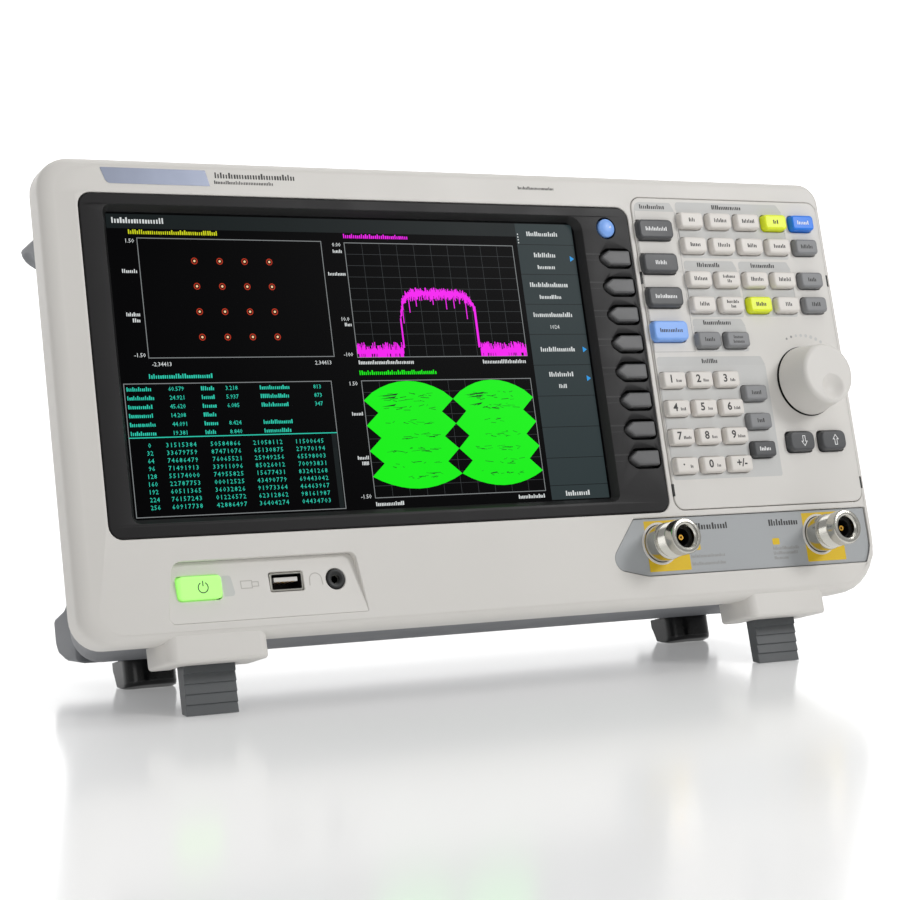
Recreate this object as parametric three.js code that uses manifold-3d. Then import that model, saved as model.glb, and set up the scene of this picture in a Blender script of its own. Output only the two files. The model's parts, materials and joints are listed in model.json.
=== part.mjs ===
// Bench spectrum analyzer: a wide box with a bezel, a large display, a keypad, a knob and two RF
// sockets at the front, and a tapered rear cover with four corner horns. It stands on two rear
// feet and on two tilt legs, which lean the case back.
//
// Units are millimetres. The parts are laid out in the case's own frame: x runs to the right seen
// from the front, y runs back from the bezel's face, and z runs up the panel from the bezel's
// lower edge. The exported group leans that frame back and stands it on the floor.

import * as THREE from 'three'
import { mergeVertices } from 'three/addons/utils/BufferGeometryUtils.js'
import Module from 'manifold-3d'

const wasm = await Module()
wasm.setup()

// ---------------------------------------------------------------- driving dimensions

const GAP = 0.3
const TILT = THREE.MathUtils.degToRad(14.8)
const FLOOR_AT_PANEL = -31.6 // z of the floor on the plane of the bezel's face
const ARC_STEPS = 5

const CASE = { halfWidth: 196.5, height: 198, seam: 14, wall: 2.6 }
const CASE_RADII = { topLeft: 14, topRight: 10, bottomRight: 24, bottomLeft: 13 }
const BEZEL = { face: 3, edgeRadius: 4, edgeDepth: 5 }
const COVER = { step: 0.6, back: 95, halfWidthBack: 167.5, topBack: 194.5, bottomBack: 3, bottomBend: 63 }
const HORN = { back: 117, inner: 136, outer: 167, root: 93, topRoot: -26, bottomRoot: 33 }
// The horns' side profiles: how far each corner lies short of the horn's back, and its height from
// the edge of the cover that the horn grows from.
const TOP_HORN = [[1.5, 0], [0, -1.5], [0, -12], [10, -20]]
const BOTTOM_HORN = [[11, 3], [2.5, 7], [0, 11.5], [0, 22], [2, 23.5], [15, 25.5]]
const REAR_VENT = { count: 7, pitch: 7.5, width: 46, height: 3.6 }
const SIDE_VENT = { count: 7, pitch: 7, front: 34, width: 3, bottom: 70, top: 130 }

const SCREEN = { x: -57, z: 112.5, width: 222.7, height: 125.3, recess: 4.6, depth: 8, gap: 0.4 }
const SCREEN_RIM = { width: 12.3, height: 13.7 }
const FRAME = { left: -181, right: 82.6, bottom: 41.5, top: 182.4, radius: 5.5, back: 4.2, flare: 2.6 }

const SOFT = {
  x: 71.4, z: 158.3, pitch: 13.2, count: 8, width: 17.6, height: 7, point: 5, well: 0.8, front: -1.6,
}
const SOFT_FLANGE = { grow: 1.2, depth: 2.3 }
const ROUND_KEY = { x: 70, z: 172.5, radius: 4.3, flange: 1, front: -1.6, edgeWidth: 0.8, edgeDepth: 0.6 }

const PANEL = { left: 85.5, right: 192.3, bottom: 42, top: 187.5, radius: 5, front: -0.3, back: 3 }
const KEY = { proud: 3.6, back: 10.6, corner: 1.4, clearance: 0.3 }
const KEY_FLANGE = { grow: 0.7, front: 3.4, depth: 2.4 }
const FUNCTION_KEYS = { x: 116.1, pitchX: 16.2, width: 13.4, height: 7.8, columns: 5 }
const FUNCTION_ROWS = [176.6, 164.7, 148.4, 136.3]
const MEASURE_ROW = { z: 119.5, columns: 2 }
const FUNCTION_WEB = { front: 8, margin: 2.4 }
const CONTROL_KEYS = { x: 95.3, z: 171.8, pitch: 16, width: 19.4, height: 9.6 }
const NUMBER_KEYS = { x: 93.2, z: 101, pitchX: 15, pitchZ: 13.15, width: 12.8, height: 7.6 }
const EDIT_KEYS = { x: 137.7, z: 94.2, pitch: 13.2, width: 13, height: 7.6 }
const ARROW_KEYS = { x: 159.8, z: 70.85, pitch: 18.5, width: 14.6, height: 9.6 }

const BOARD = { left: 61.5, right: 190, bottom: 43.5, top: 187, front: 12.4, back: 14 }
const ENCODER = {
  x: 169.8, z: 99.7, body: 12, bodyFront: 6.6, bushRadius: 4.4, shaftRadius: 3, shaftFront: -12,
}
const KNOB = { base: 16.3, tip: 14.2, front: -17.6, back: -1.2, bore: 3.3, boreDepth: 13, edge: 2.2 }

const SOCKET_BAND = { left: 49.5, right: 192.3, bottom: 13.5, top: 38.8, front: 0.8, back: 3.4 }
const BAND_CORNERS = { slope: 13, elbow: 9, curve: [2, 3.5], toe: 17, right: [5, 4] }
const RF = { z: 27.5, left: 75, right: 164, rim: -20, thread: 7.9, root: 7.3, collar: 8.2, flange: 11.5 }

const POCKET = { left: -160, right: -73, bottom: 7, top: 31.5, slant: 3.4, depth: 2.2, boss: 8, rim: 5 }
const POWER_KEY = { x: -145.6, z: 20.8, width: 18.4, height: 9.4, front: -0.4, back: 18.3 }
const USB = { x: -107.4, z: 21.3, width: 14.4, height: 7.4, front: 1.9, back: 15 }
const USB_SLOT = { width: 12.8, height: 5.9, wall: 3 }
const JACK = { x: -85.4, z: 21.1, ferrule: 4.1, body: 6, front: 1.7, back: 18.5, bore: 1.8, depth: 13 }

const HOUSING = { x: 140, width: 49, front: 5.5, back: 24, bottom: -8.5, top: 5, stop: 11.9, chamfer: 2 }
const LEG = { width: 22.3, pivotY: 17, pivotZ: -4.6, barrel: 3.4, front: 12.3, foot: 13.5, thickness: 5.4 }
const PIN = { radius: 1.5, length: 3, hole: 1.8 }
const FOOT = { x: 138.8, width: 23.5, front: 73, back: 92.6, bottom: -8.4, padFront: 81, padBack: 86.5 }
const FOOT_TOP = { joint: 12, heel: -1, edge: 1.2 }

const HANDLE = { halfWidth: 66, arm: 11, root: -6, length: 46, bar: 15, thickness: 9, sink: 10.5, pin: 2.4 }
const HANDLE_EDGE = { corner: 9, depth: 1.5, width: 1.2 }
const HANDLE_WELL = { halfWidth: 71, front: 27, back: 83, depth: 27, pivot: 36 }

const FAN = { x: -45, z: 96, size: 60, front: 76.5, back: 91.5, bore: 28, hub: 12, blades: 7 }
const FAN_BLADE = { thickness: 1.4, chord: 13.2, pitch: 52 }
const INLET = { x: -108, z: 32, width: 30, height: 22, flange: 3, lip: 2.4, reach: 19 }
const INLET_SLOT = { width: 24.6, height: 16.6, depth: 17 }
const IO_PLATE = { left: 12, right: 118, bottom: 20, top: 46, front: 90.7, back: 92.1, ledge: 3 }
const IO_SHELL = { proud: 1.4, wall: 2 }
const COAXES = [26, 44, 62]
const COAX = { length: 14, rim: 4.8, bore: 3.6, boreDepth: 8, contact: 0.7, nut: 6.4, nutDepth: 3, body: 3.4 }
const PORTS = [
  { x: 80, width: 15.6, height: 12.4, slotWidth: 12.4, slotHeight: 9.4, depth: 15 },
  { x: 104, width: 12, height: 11, slotWidth: 9, slotHeight: 8.2, depth: 13 },
]

// Inside the case: boxes are [x0, x1, y0, y1, z0, z1].
const SHEET = 1.5
const CHASSIS = { front: 20, back: 74, bottom: 7, halfWidth: 178, top: 150, floorHalf: 152, flangeTop: 34 }
const POSTS = { radius: 3, front: 20, back: 25, spots: [[-140, 30], [-140, 130], [-20, 30], [-20, 130]] }
const MAIN_BOARD = [-148, -12, 25.3, 27, 22, 138]
const CHIPS = [
  [-122, -98, 26, 29, 78, 102], [-78.5, -61.5, 26, 29, 87.5, 104.5], [-51, -37, 26, 29, 56, 76],
  [-114, -94, 26, 29, 47.5, 56.5], [-66, -54, 26, 29, 34, 46],
]
const RF_MODULE = [
  [34, 146, 24, 62, 12, 132], [38, 142, 61, 64, 16, 128],
  [34, 146, 63, 65.5, 49, 51], [34, 146, 63, 65.5, 89, 91],
]
const POWER_SUPPLY = [[-148, -84, 40, 70, 12, 128], [-142, -92, 69, 73, 60, 122]]

// ---------------------------------------------------------------- materials

function material(colour, roughness, metalness) {
  return new THREE.MeshStandardMaterial({ color: colour, roughness, metalness })
}

const OFF_WHITE = material('#dddbd6', 0.55, 0)
const PALE_KEY = material('#d9d8d4', 0.5, 0)
const SHELL_GREY = material('#77797b', 0.6, 0)
const BAND_GREY = material('#9a9c9d', 0.5, 0)
const DARK_FRAME = material('#3a3a3c', 0.35, 0)
const DARK_KEY = material('#66676a', 0.5, 0)
const MID_KEY = material('#a9a9a9', 0.5, 0)
const BLUE_KEY = material('#a8c8f8', 0.45, 0)
const LIT_KEY = material('#b8e89a', 0.4, 0)
const SCREEN_GLASS = material('#0c1216', 0.15, 0)
const LEG_GREY = material('#5c5e60', 0.6, 0)
const FOOT_RUBBER = material('#1b1c1e', 0.35, 0)
const BLACK_PLASTIC = material('#17181a', 0.5, 0)
const NICKEL = material('#b9bab6', 0.25, 1)
const SHEET_STEEL = material('#a7aaad', 0.4, 1)
const CIRCUIT = material('#1f5a3a', 0.5, 0)

// ---------------------------------------------------------------- solids

// Booleans work on manifold solids, and meshes are drawn from plain geometry.
function solidOf(geometry) {
  const bare = geometry.clone()
  bare.deleteAttribute('normal')
  bare.deleteAttribute('uv')
  const merged = mergeVertices(bare, 1e-4)
  const mesh = new wasm.Mesh({
    numProp: 3,
    vertProperties: merged.attributes.position.array,
    triVerts: new Uint32Array(merged.index.array),
  })
  return new wasm.Manifold(mesh)
}

function geometryOf(solid) {
  const mesh = solid.getMesh()
  const geometry = new THREE.BufferGeometry()
  geometry.setAttribute('position', new THREE.BufferAttribute(mesh.vertProperties, 3))
  geometry.setIndex(new THREE.BufferAttribute(mesh.triVerts, 1))
  geometry.computeVertexNormals()
  return geometry
}

function joined(solids) {
  return solids.reduce((whole, piece) => whole.add(piece))
}

function cut(solid, cutters) {
  return cutters.reduce((rest, cutter) => rest.subtract(cutter), solid)
}

function boxSolid(x0, x1, y0, y1, z0, z1) {
  const box = new THREE.BoxGeometry(x1 - x0, y1 - y0, z1 - z0)
  box.translate((x0 + x1) / 2, (y0 + y1) / 2, (z0 + z1) / 2)
  return solidOf(box)
}

// Outlines are drawn in the panel's plane (x, z) and extruded back along y.
function roundedRect(left, right, bottom, top, radii) {
  const r = typeof radii === 'number'
    ? { bottomLeft: radii, bottomRight: radii, topRight: radii, topLeft: radii }
    : radii
  const shape = new THREE.Shape()
  shape.moveTo(left + r.bottomLeft, bottom)
  shape.absarc(right - r.bottomRight, bottom + r.bottomRight, r.bottomRight, -Math.PI / 2, 0)
  shape.absarc(right - r.topRight, top - r.topRight, r.topRight, 0, Math.PI / 2)
  shape.absarc(left + r.topLeft, top - r.topLeft, r.topLeft, Math.PI / 2, Math.PI)
  shape.absarc(left + r.bottomLeft, bottom + r.bottomLeft, r.bottomLeft, Math.PI, Math.PI * 1.5)
  return shape
}

function polygon(points) {
  return new THREE.Shape(points.map(([x, z]) => new THREE.Vector2(x, z)))
}

function circle(x, z, radius) {
  return new THREE.Shape().absarc(x, z, radius, 0, Math.PI * 2)
}

function slabGeometry(shape, front, back, options = {}) {
  const geometry = new THREE.ExtrudeGeometry(shape, {
    depth: back - front, bevelEnabled: false, curveSegments: ARC_STEPS, ...options,
  })
  geometry.rotateX(Math.PI / 2)
  geometry.translate(0, back, 0)
  return geometry
}

function slab(shape, front, back, options) {
  return solidOf(slabGeometry(shape, front, back, options))
}

// A side profile drawn in (y, z) and extruded across x.
function crosswise(points, x0, x1) {
  const geometry = new THREE.ExtrudeGeometry(polygon(points), { depth: x1 - x0, bevelEnabled: false })
  geometry.rotateX(Math.PI / 2)
  geometry.rotateZ(Math.PI / 2)
  geometry.translate(x0, 0, 0)
  return solidOf(geometry)
}

// A body turned about y: its profile lists [radius, y] from the back of the axis to the front.
function turned(profile, segments = 24) {
  const points = profile.map(([radius, y]) => new THREE.Vector2(radius, -y))
  const geometry = new THREE.LatheGeometry(points, segments)
  geometry.rotateX(Math.PI)
  return solidOf(geometry)
}

// A pin or a hole whose axis runs across x.
function crossPin(radius, x0, x1, y, z, segments = 16) {
  const geometry = new THREE.CylinderGeometry(radius, radius, x1 - x0, segments)
  geometry.rotateZ(Math.PI / 2)
  geometry.translate((x0 + x1) / 2, y, z)
  return solidOf(geometry)
}

const floorAt = (y) => FLOOR_AT_PANEL + y * Math.tan(TILT)
const sides = [['left', -1], ['right', 1]]

// ---------------------------------------------------------------- assembly

const caseGroup = new THREE.Group()
caseGroup.rotation.x = -TILT

function place(name, solid, look, position = [0, 0, 0]) {
  const mesh = new THREE.Mesh(geometryOf(solid), look)
  mesh.name = name
  mesh.position.set(...position)
  caseGroup.add(mesh)
  return mesh
}

// ---------------------------------------------------------------- case shells

function caseOutline(inset = 0) {
  const radii = {}
  for (const [corner, radius] of Object.entries(CASE_RADII)) radii[corner] = Math.max(radius - inset, 1)
  const half = CASE.halfWidth - inset
  return roundedRect(-half, half, inset, CASE.height - inset, radii)
}

// The bezel's outer form has rounded front edges. `grow` fattens it to cut its neighbours.
function bezelForm(grow = 0) {
  const rounded = slab(caseOutline(), 0, CASE.seam, {
    bevelEnabled: true,
    bevelThickness: BEZEL.edgeDepth,
    bevelSize: BEZEL.edgeRadius,
    bevelOffset: grow - BEZEL.edgeRadius,
    bevelSegments: 3,
  }).translate([0, BEZEL.edgeDepth - grow, 0])
  const past = CASE.halfWidth * 2
  return rounded.subtract(boxSolid(-past, past, CASE.seam + grow, past, -past, past))
}

function coverBottom(y, raise) {
  const climb = Math.max(0, (y - COVER.bottomBend) / (COVER.back - COVER.bottomBend))
  return raise + (COVER.bottomBack - COVER.step) * climb
}

// The rear cover tapers: its sides and top draw in towards the back, and its floor rises at last.
function coverForm(inset, front, back) {
  const geometry = slabGeometry(caseOutline(COVER.step + inset), front, back, { steps: 5 })
  const position = geometry.attributes.position
  const low = COVER.step + inset
  const high = CASE.height - low
  for (let i = 0; i < position.count; i++) {
    const y = position.getY(i)
    const along = (y - CASE.seam) / (COVER.back - CASE.seam)
    const narrow = 1 + along * (COVER.halfWidthBack / CASE.halfWidth - 1)
    const top = high + along * (COVER.topBack - CASE.height)
    const bottom = coverBottom(y, low)
    const up = (position.getZ(i) - low) / (high - low)
    position.setX(i, position.getX(i) * narrow)
    position.setZ(i, bottom + up * (top - bottom))
  }
  return solidOf(geometry)
}

function horn(side, isTop) {
  const edge = isTop ? COVER.topBack - 1 : coverBottom(COVER.back, COVER.step)
  const corners = isTop ? TOP_HORN : BOTTOM_HORN
  const root = isTop ? HORN.topRoot : HORN.bottomRoot
  const profile = corners.map(([short, up]) => [HORN.back - short, edge + up])
  const [x0, x1] = side < 0 ? [-HORN.outer, -HORN.inner] : [HORN.inner, HORN.outer]
  return crosswise([[HORN.root, edge], ...profile, [HORN.root, edge + root]], x0, x1)
}

const topSlope = Math.atan((CASE.height - COVER.topBack) / (COVER.back - CASE.seam))
const topAt = (y) => CASE.height - COVER.step - (y - CASE.seam) * Math.tan(topSlope)

// The carry handle lies in a well whose floor follows the slope of the cover's top.
function handleWell(margin, rise) {
  const { halfWidth, front, back, depth } = HANDLE_WELL
  const y0 = front - margin
  const y1 = back + margin
  const floor = (y) => topAt(y) - depth - margin
  return crosswise(
    [[y0, floor(y0)], [y1, floor(y1)], [y1, topAt(y1) + rise], [y0, topAt(y0) + rise]],
    -halfWidth - margin, halfWidth + margin,
  )
}

function ventSlots() {
  const through = 5
  const slots = []
  for (let i = 0; i < REAR_VENT.count; i++) {
    const z = FAN.z + (i - (REAR_VENT.count - 1) / 2) * REAR_VENT.pitch
    slots.push(boxSolid(
      FAN.x - REAR_VENT.width / 2, FAN.x + REAR_VENT.width / 2,
      COVER.back - through, COVER.back + through, z - REAR_VENT.height / 2, z + REAR_VENT.height / 2,
    ))
  }
  const inner = CASE.halfWidth * 0.75
  for (const [, side] of sides) {
    const [x0, x1] = side < 0 ? [-CASE.halfWidth, -inner] : [inner, CASE.halfWidth]
    for (let i = 0; i < SIDE_VENT.count; i++) {
      const y = SIDE_VENT.front + i * SIDE_VENT.pitch
      slots.push(boxSolid(x0, x1, y, y + SIDE_VENT.width, SIDE_VENT.bottom, SIDE_VENT.top))
    }
  }
  return slots
}

function rearCover() {
  const walls = joined([
    coverForm(0, CASE.seam + GAP, COVER.back),
    ...sides.flatMap(([, side]) => [horn(side, true), horn(side, false)]),
  ])
  const above = 9
  const past = 8
  const room = coverForm(CASE.wall, CASE.seam - 1, COVER.back - CASE.wall)
  const pinReach = HANDLE_WELL.halfWidth + 2
  const { left, right, bottom, top, ledge } = IO_PLATE
  return cut(walls, [
    room.subtract(handleWell(CASE.wall, above)),
    handleWell(0, above),
    crossPin(HANDLE.pin + 0.4, -pinReach, pinReach, HANDLE_WELL.pivot, handlePivotZ()),
    boxSolid(left + ledge, right - ledge, COVER.back - past, COVER.back + past, bottom + ledge, top - ledge),
    boxSolid(
      INLET.x - INLET.width / 2, INLET.x + INLET.width / 2, COVER.back - past, COVER.back + past,
      INLET.z - INLET.height / 2, INLET.z + INLET.height / 2,
    ),
    ...ventSlots(),
  ])
}

// ---------------------------------------------------------------- front panel pieces

// A key's outline has cut corners.
function keyShape(width, height) {
  const w = width / 2
  const h = height / 2
  const c = KEY.corner
  return polygon([
    [-w + c, -h], [w - c, -h], [w, -h + c], [w, h - c], [w - c, h], [-w + c, h], [-w, h - c], [-w, -h + c],
  ])
}

// A key cap with a flange behind the panel that keeps it in, and a stem down to its switch.
function keyCap({ width, height }, front = -KEY.proud, back = KEY.back, flangeFront = KEY_FLANGE.front) {
  const w = width / 2 + KEY_FLANGE.grow
  const h = height / 2 + KEY_FLANGE.grow
  return slab(keyShape(width, height), front, back).add(
    boxSolid(-w, w, flangeFront, flangeFront + KEY_FLANGE.depth, -h, h),
  )
}

function roundCap() {
  const { radius, flange, front, edgeWidth, edgeDepth } = ROUND_KEY
  const flangeFront = FRAME.back + GAP
  return turned([
    [0, KEY.back], [radius + flange, KEY.back], [radius + flange, flangeFront], [radius, flangeFront],
    [radius, front + edgeDepth], [radius - edgeWidth, front], [0, front],
  ], 20)
}

function softCap() {
  const flangeFront = FRAME.back + GAP
  return joined([
    slab(softKeyShape(), SOFT.front, KEY.back),
    slab(softKeyShape(SOFT_FLANGE.grow), flangeFront, flangeFront + SOFT_FLANGE.depth),
  ])
}

function keyHole(x, z, { width, height }, front, back) {
  const w = width / 2 + KEY.clearance
  const h = height / 2 + KEY.clearance
  return boxSolid(x - w, x + w, front, back, z - h, z + h)
}

function softKeyShape(grow = 0) {
  const w = SOFT.width / 2 + grow
  const h = SOFT.height / 2 + grow
  return polygon([[w, -h], [w, h], [-w + SOFT.point, h], [-w, 0], [-w + SOFT.point, -h]])
}

const softRows = Array.from({ length: SOFT.count }, (_, i) => SOFT.z - i * SOFT.pitch)

function displayFrame() {
  const { left, right, bottom, top, radius, back, flare } = FRAME
  const past = 1
  const halfW = SCREEN.width / 2 + SCREEN.gap
  const halfH = SCREEN.height / 2 + SCREEN.gap
  const corners = [[-halfW, -halfH], [halfW, -halfH], [halfW, halfH], [-halfW, halfH]]
  const opening = slabGeometry(polygon(corners), -past, back + past)
  const position = opening.attributes.position
  for (let i = 0; i < position.count; i++) {
    if (position.getY(i) > 0) continue
    position.setX(i, position.getX(i) + Math.sign(position.getX(i)) * flare)
    position.setZ(i, position.getZ(i) + Math.sign(position.getZ(i)) * flare)
  }
  opening.translate(SCREEN.x, 0, SCREEN.z)
  const wellHalfW = SOFT.width / 2 + SOFT.well
  const wellHalfH = SOFT.height / 2 + SOFT.well
  const wells = softRows.map((z) => (
    boxSolid(SOFT.x - wellHalfW, SOFT.x + wellHalfW, -past, back + past, z - wellHalfH, z + wellHalfH)
  ))
  return cut(slab(roundedRect(left, right, bottom, top, radius), 0, back), [
    solidOf(opening),
    slab(circle(ROUND_KEY.x, ROUND_KEY.z, ROUND_KEY.radius + KEY.clearance), -past, back + past),
    ...wells,
  ])
}

function functionKeySpots() {
  const spots = []
  const { x, pitchX, columns } = FUNCTION_KEYS
  for (const z of FUNCTION_ROWS) {
    for (let i = 0; i < columns; i++) spots.push([x + i * pitchX, z])
  }
  for (let i = 0; i < MEASURE_ROW.columns; i++) spots.push([x + i * pitchX, MEASURE_ROW.z])
  return spots
}

// The small function keys are moulded on one web, which flexes under each cap.
function functionKeyMat() {
  const { x, pitchX, width, height, columns } = FUNCTION_KEYS
  const { margin, front } = FUNCTION_WEB
  const left = x - width / 2 - margin
  const right = x + (columns - 1) * pitchX + width / 2 + margin
  const step = x + (MEASURE_ROW.columns - 1) * pitchX + width / 2 + margin
  const top = FUNCTION_ROWS[0] + height / 2 + margin
  const middle = FUNCTION_ROWS.at(-1) - height / 2 - margin
  const bottom = MEASURE_ROW.z - height / 2 - margin
  const web = slab(
    polygon([[left, bottom], [step, bottom], [step, middle], [right, middle], [right, top], [left, top]]),
    front, KEY.back,
  )
  const caps = functionKeySpots().map(([cx, cz]) => (
    slab(keyShape(width, height), -KEY.proud, front + 1).translate([cx, 0, cz])
  ))
  return joined([web, ...caps])
}

// Every key that moves alone: its name, place, size and material.
function panelKeys() {
  const keys = []
  const add = (name, x, z, size, look) => keys.push({ name, x, z, size, look })
  const controls = [
    ['frequency_key', DARK_KEY],
    ['span_key', DARK_KEY],
    ['amplitude_key', DARK_KEY],
    ['auto_tune_key', BLUE_KEY],
  ]
  controls.forEach(([name, look], i) => {
    add(name, CONTROL_KEYS.x, CONTROL_KEYS.z - i * CONTROL_KEYS.pitch, CONTROL_KEYS, look)
  })
  const pad = [['1', '2', '3'], ['4', '5', '6'], ['7', '8', '9'], ['point', '0', 'sign']]
  pad.forEach((row, j) => row.forEach((label, i) => {
    const x = NUMBER_KEYS.x + i * NUMBER_KEYS.pitchX
    const z = NUMBER_KEYS.z - j * NUMBER_KEYS.pitchZ
    add(`number_key_${label}`, x, z, NUMBER_KEYS, PALE_KEY)
  }))
  const edits = [['back_key', MID_KEY], ['escape_key', MID_KEY], ['enter_key', DARK_KEY]]
  edits.forEach(([name, look], i) => {
    add(name, EDIT_KEYS.x, EDIT_KEYS.z - i * EDIT_KEYS.pitch, EDIT_KEYS, look)
  })
  const arrows = ['down_arrow_key', 'up_arrow_key']
  arrows.forEach((name, i) => {
    add(name, ARROW_KEYS.x + i * ARROW_KEYS.pitch, ARROW_KEYS.z, ARROW_KEYS, DARK_KEY)
  })
  return keys
}

function controlPanel() {
  const { left, right, bottom, top, radius, front, back } = PANEL
  const past = 1
  const holes = panelKeys().map(({ x, z, size }) => keyHole(x, z, size, front - past, back + past))
  for (const [x, z] of functionKeySpots()) holes.push(keyHole(x, z, FUNCTION_KEYS, front - past, back + past))
  holes.push(slab(circle(ENCODER.x, ENCODER.z, ENCODER.bushRadius + GAP), front - past, back + past))
  return cut(slab(roundedRect(left, right, bottom, top, radius), front, back), holes)
}

function bandShape(grow = 0) {
  const { left, right, bottom, top } = SOCKET_BAND
  const { slope, elbow, curve, toe, right: corner } = BAND_CORNERS
  return polygon([
    [left + slope - grow, top + grow],
    [left - grow, bottom + elbow],
    [left + curve[0], bottom + curve[1] - grow],
    [left + toe, bottom - grow],
    [right - corner[0], bottom - grow],
    [right + grow, bottom + corner[1] - grow],
    [right + grow, top + grow],
  ])
}

// The opening in the bezel round a plate that is set into it.
function plateOpening({ left, right, bottom, top, radius }) {
  return roundedRect(left - GAP, right + GAP, bottom - GAP, top + GAP, radius + GAP)
}

function frontBezel() {
  const past = 1
  const room = slab(caseOutline(CASE.wall), BEZEL.face, CASE.seam + past)
  const { left, right, bottom, top, slant, depth, boss, rim } = POCKET
  const shell = bezelForm().subtract(room).add(
    boxSolid(left - rim, right + rim, BEZEL.face - past, boss, bottom - rim / 2, top + rim / 2),
  )
  const pocket = polygon([[left, bottom + slant], [right, bottom], [right - slant, top], [left + slant, top]])
  return cut(shell, [
    slab(plateOpening(FRAME), -past, CASE.seam),
    slab(plateOpening(PANEL), -past, CASE.seam),
    slab(bandShape(GAP), -past, CASE.seam),
    slab(pocket, -past, depth),
    keyHole(POWER_KEY.x, POWER_KEY.z, POWER_KEY, -past, boss + past),
    keyHole(USB.x, USB.z, USB, -past, boss + past),
    slab(circle(JACK.x, JACK.z, JACK.ferrule + GAP), -past, boss + past),
  ])
}

function socketBand() {
  const holes = [RF.left, RF.right].map((x) => (
    slab(circle(x, RF.z, RF.collar + GAP), SOCKET_BAND.front - 1, SOCKET_BAND.back + 1, { curveSegments: 24 })
  ))
  return cut(slab(bandShape(), SOCKET_BAND.front, SOCKET_BAND.back), holes)
}

// A threaded RF socket: flange and body behind the band, a collar and thread in front of it, and
// a bore with the contact standing in it.
function rfSocket() {
  const { rim, thread, root, collar, flange } = RF
  return turned([
    [0, 17], [5.5, 17], [5.5, 6.8], [flange, 6.8], [flange, 3.8], [collar, 3.8], [collar, -6],
    [root, -6.6], [root, -16], [thread, -16.6], [thread, rim + 0.6], [thread - 0.6, rim], [4.6, rim],
    [4.6, -8], [0.9, -8], [0.9, -15], [0, -15],
  ], 20)
}

function knob() {
  const { base, tip, front, back, bore, boreDepth, edge } = KNOB
  return turned([
    [0, back - boreDepth], [bore, back - boreDepth], [bore, back], [base, back], [base, back - 2],
    [tip, front + edge], [tip - edge * 0.3, front + edge * 0.3], [tip - edge, front], [0, front],
  ], 28)
}

function encoder() {
  const { body, bodyFront, bushRadius, shaftRadius, shaftFront } = ENCODER
  const barrel = turned([
    [0, bodyFront + 1], [bushRadius, bodyFront + 1], [bushRadius, -0.6], [shaftRadius, -0.6],
    [shaftRadius, shaftFront], [0, shaftFront],
  ], 20)
  const half = body / 2
  return barrel.add(boxSolid(-half, half, bodyFront, BOARD.front - GAP, -half, half))
}

function usbPort() {
  const { width, height, front, back } = USB
  const shell = boxSolid(-width / 2, width / 2, front, back, -height / 2, height / 2)
  return shell.subtract(boxSolid(
    -USB_SLOT.width / 2, USB_SLOT.width / 2, front - 1, back - USB_SLOT.wall,
    -USB_SLOT.height / 2, USB_SLOT.height / 2,
  ))
}

function headphoneJack() {
  const { ferrule, body, front, back, bore, depth } = JACK
  const shoulder = POCKET.boss + 0.4
  return turned([
    [0, back], [body, back], [body, shoulder], [ferrule, shoulder], [ferrule, front],
    [bore, front], [bore, front + depth], [0, front + depth],
  ], 20)
}

// ---------------------------------------------------------------- legs and feet

// A housing under the bezel: two cheeks that carry the leg's pins, and a front wall it stops on.
function legHousing(side) {
  const { x, width, front, back, bottom, top, stop, chamfer } = HOUSING
  const half = width / 2
  const past = 1
  const sideOn = crosswise([
    [front + past, bottom], [back, bottom], [back, top], [front, top], [front, bottom + past],
  ], -half, half)
  const frontOn = slab(polygon([
    [-half, top], [half, top], [half - chamfer, bottom - past], [-half + chamfer, bottom - past],
  ]), front - past, back + past)
  const slot = LEG.width / 2 + 0.5
  const pinReach = slot + PIN.length + GAP
  return cut(sideOn.intersect(frontOn), [
    boxSolid(-slot, slot, stop, back + past, bottom - past, top + past),
    crossPin(PIN.hole, -pinReach, pinReach, LEG.pivotY, LEG.pivotZ),
    bezelForm(GAP).translate([-side * x, 0, 0]),
    coverForm(-GAP, CASE.seam, COVER.back).translate([-side * x, 0, 0]),
  ])
}

// A tilt leg: a flat blade hung from a barrel, with its toe cut to lie flat on the floor.
function tiltLeg() {
  const { width, pivotY, pivotZ, barrel, front, foot, thickness } = LEG
  const half = width / 2
  const toe = [[foot, floorAt(foot)], [foot + thickness, floorAt(foot + thickness)]]
  const blade = crosswise([
    [front, pivotZ - 2], ...toe, [pivotY + 2.4, pivotZ - 2], [pivotY, pivotZ],
  ], -half, half)
  return joined([
    blade,
    crossPin(barrel, -half, half, pivotY, pivotZ),
    crossPin(PIN.radius, -half - PIN.length, half + PIN.length, pivotY, pivotZ),
  ])
}

// A rear foot: flat at the pad that meets the floor, and round behind it so the case can rock.
function rearFoot(side) {
  const { x, width, front, back, bottom, padFront, padBack } = FOOT
  const { joint, heel, edge } = FOOT_TOP
  const round = []
  const steps = 4
  for (let i = 1; i <= steps; i++) {
    const angle = (i / steps) * (Math.PI / 2)
    const y = padBack + (back - padBack) * Math.sin(angle)
    round.push([y, floorAt(y) + (heel - floorAt(back)) * (1 - Math.cos(angle))])
  }
  const profile = [
    [front, joint], [front, bottom + edge], [front + edge, bottom], [padFront, floorAt(padFront)],
    [padBack, floorAt(padBack)], ...round, [back, joint],
  ]
  const block = crosswise(profile, -width / 2, width / 2)
  return block.subtract(coverForm(-GAP, CASE.seam, COVER.back).translate([-side * x, 0, 0]))
}

// ---------------------------------------------------------------- carry handle

function handlePivotZ() {
  return topAt(HANDLE_WELL.pivot) - HANDLE.sink + HANDLE.thickness / 2
}

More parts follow.
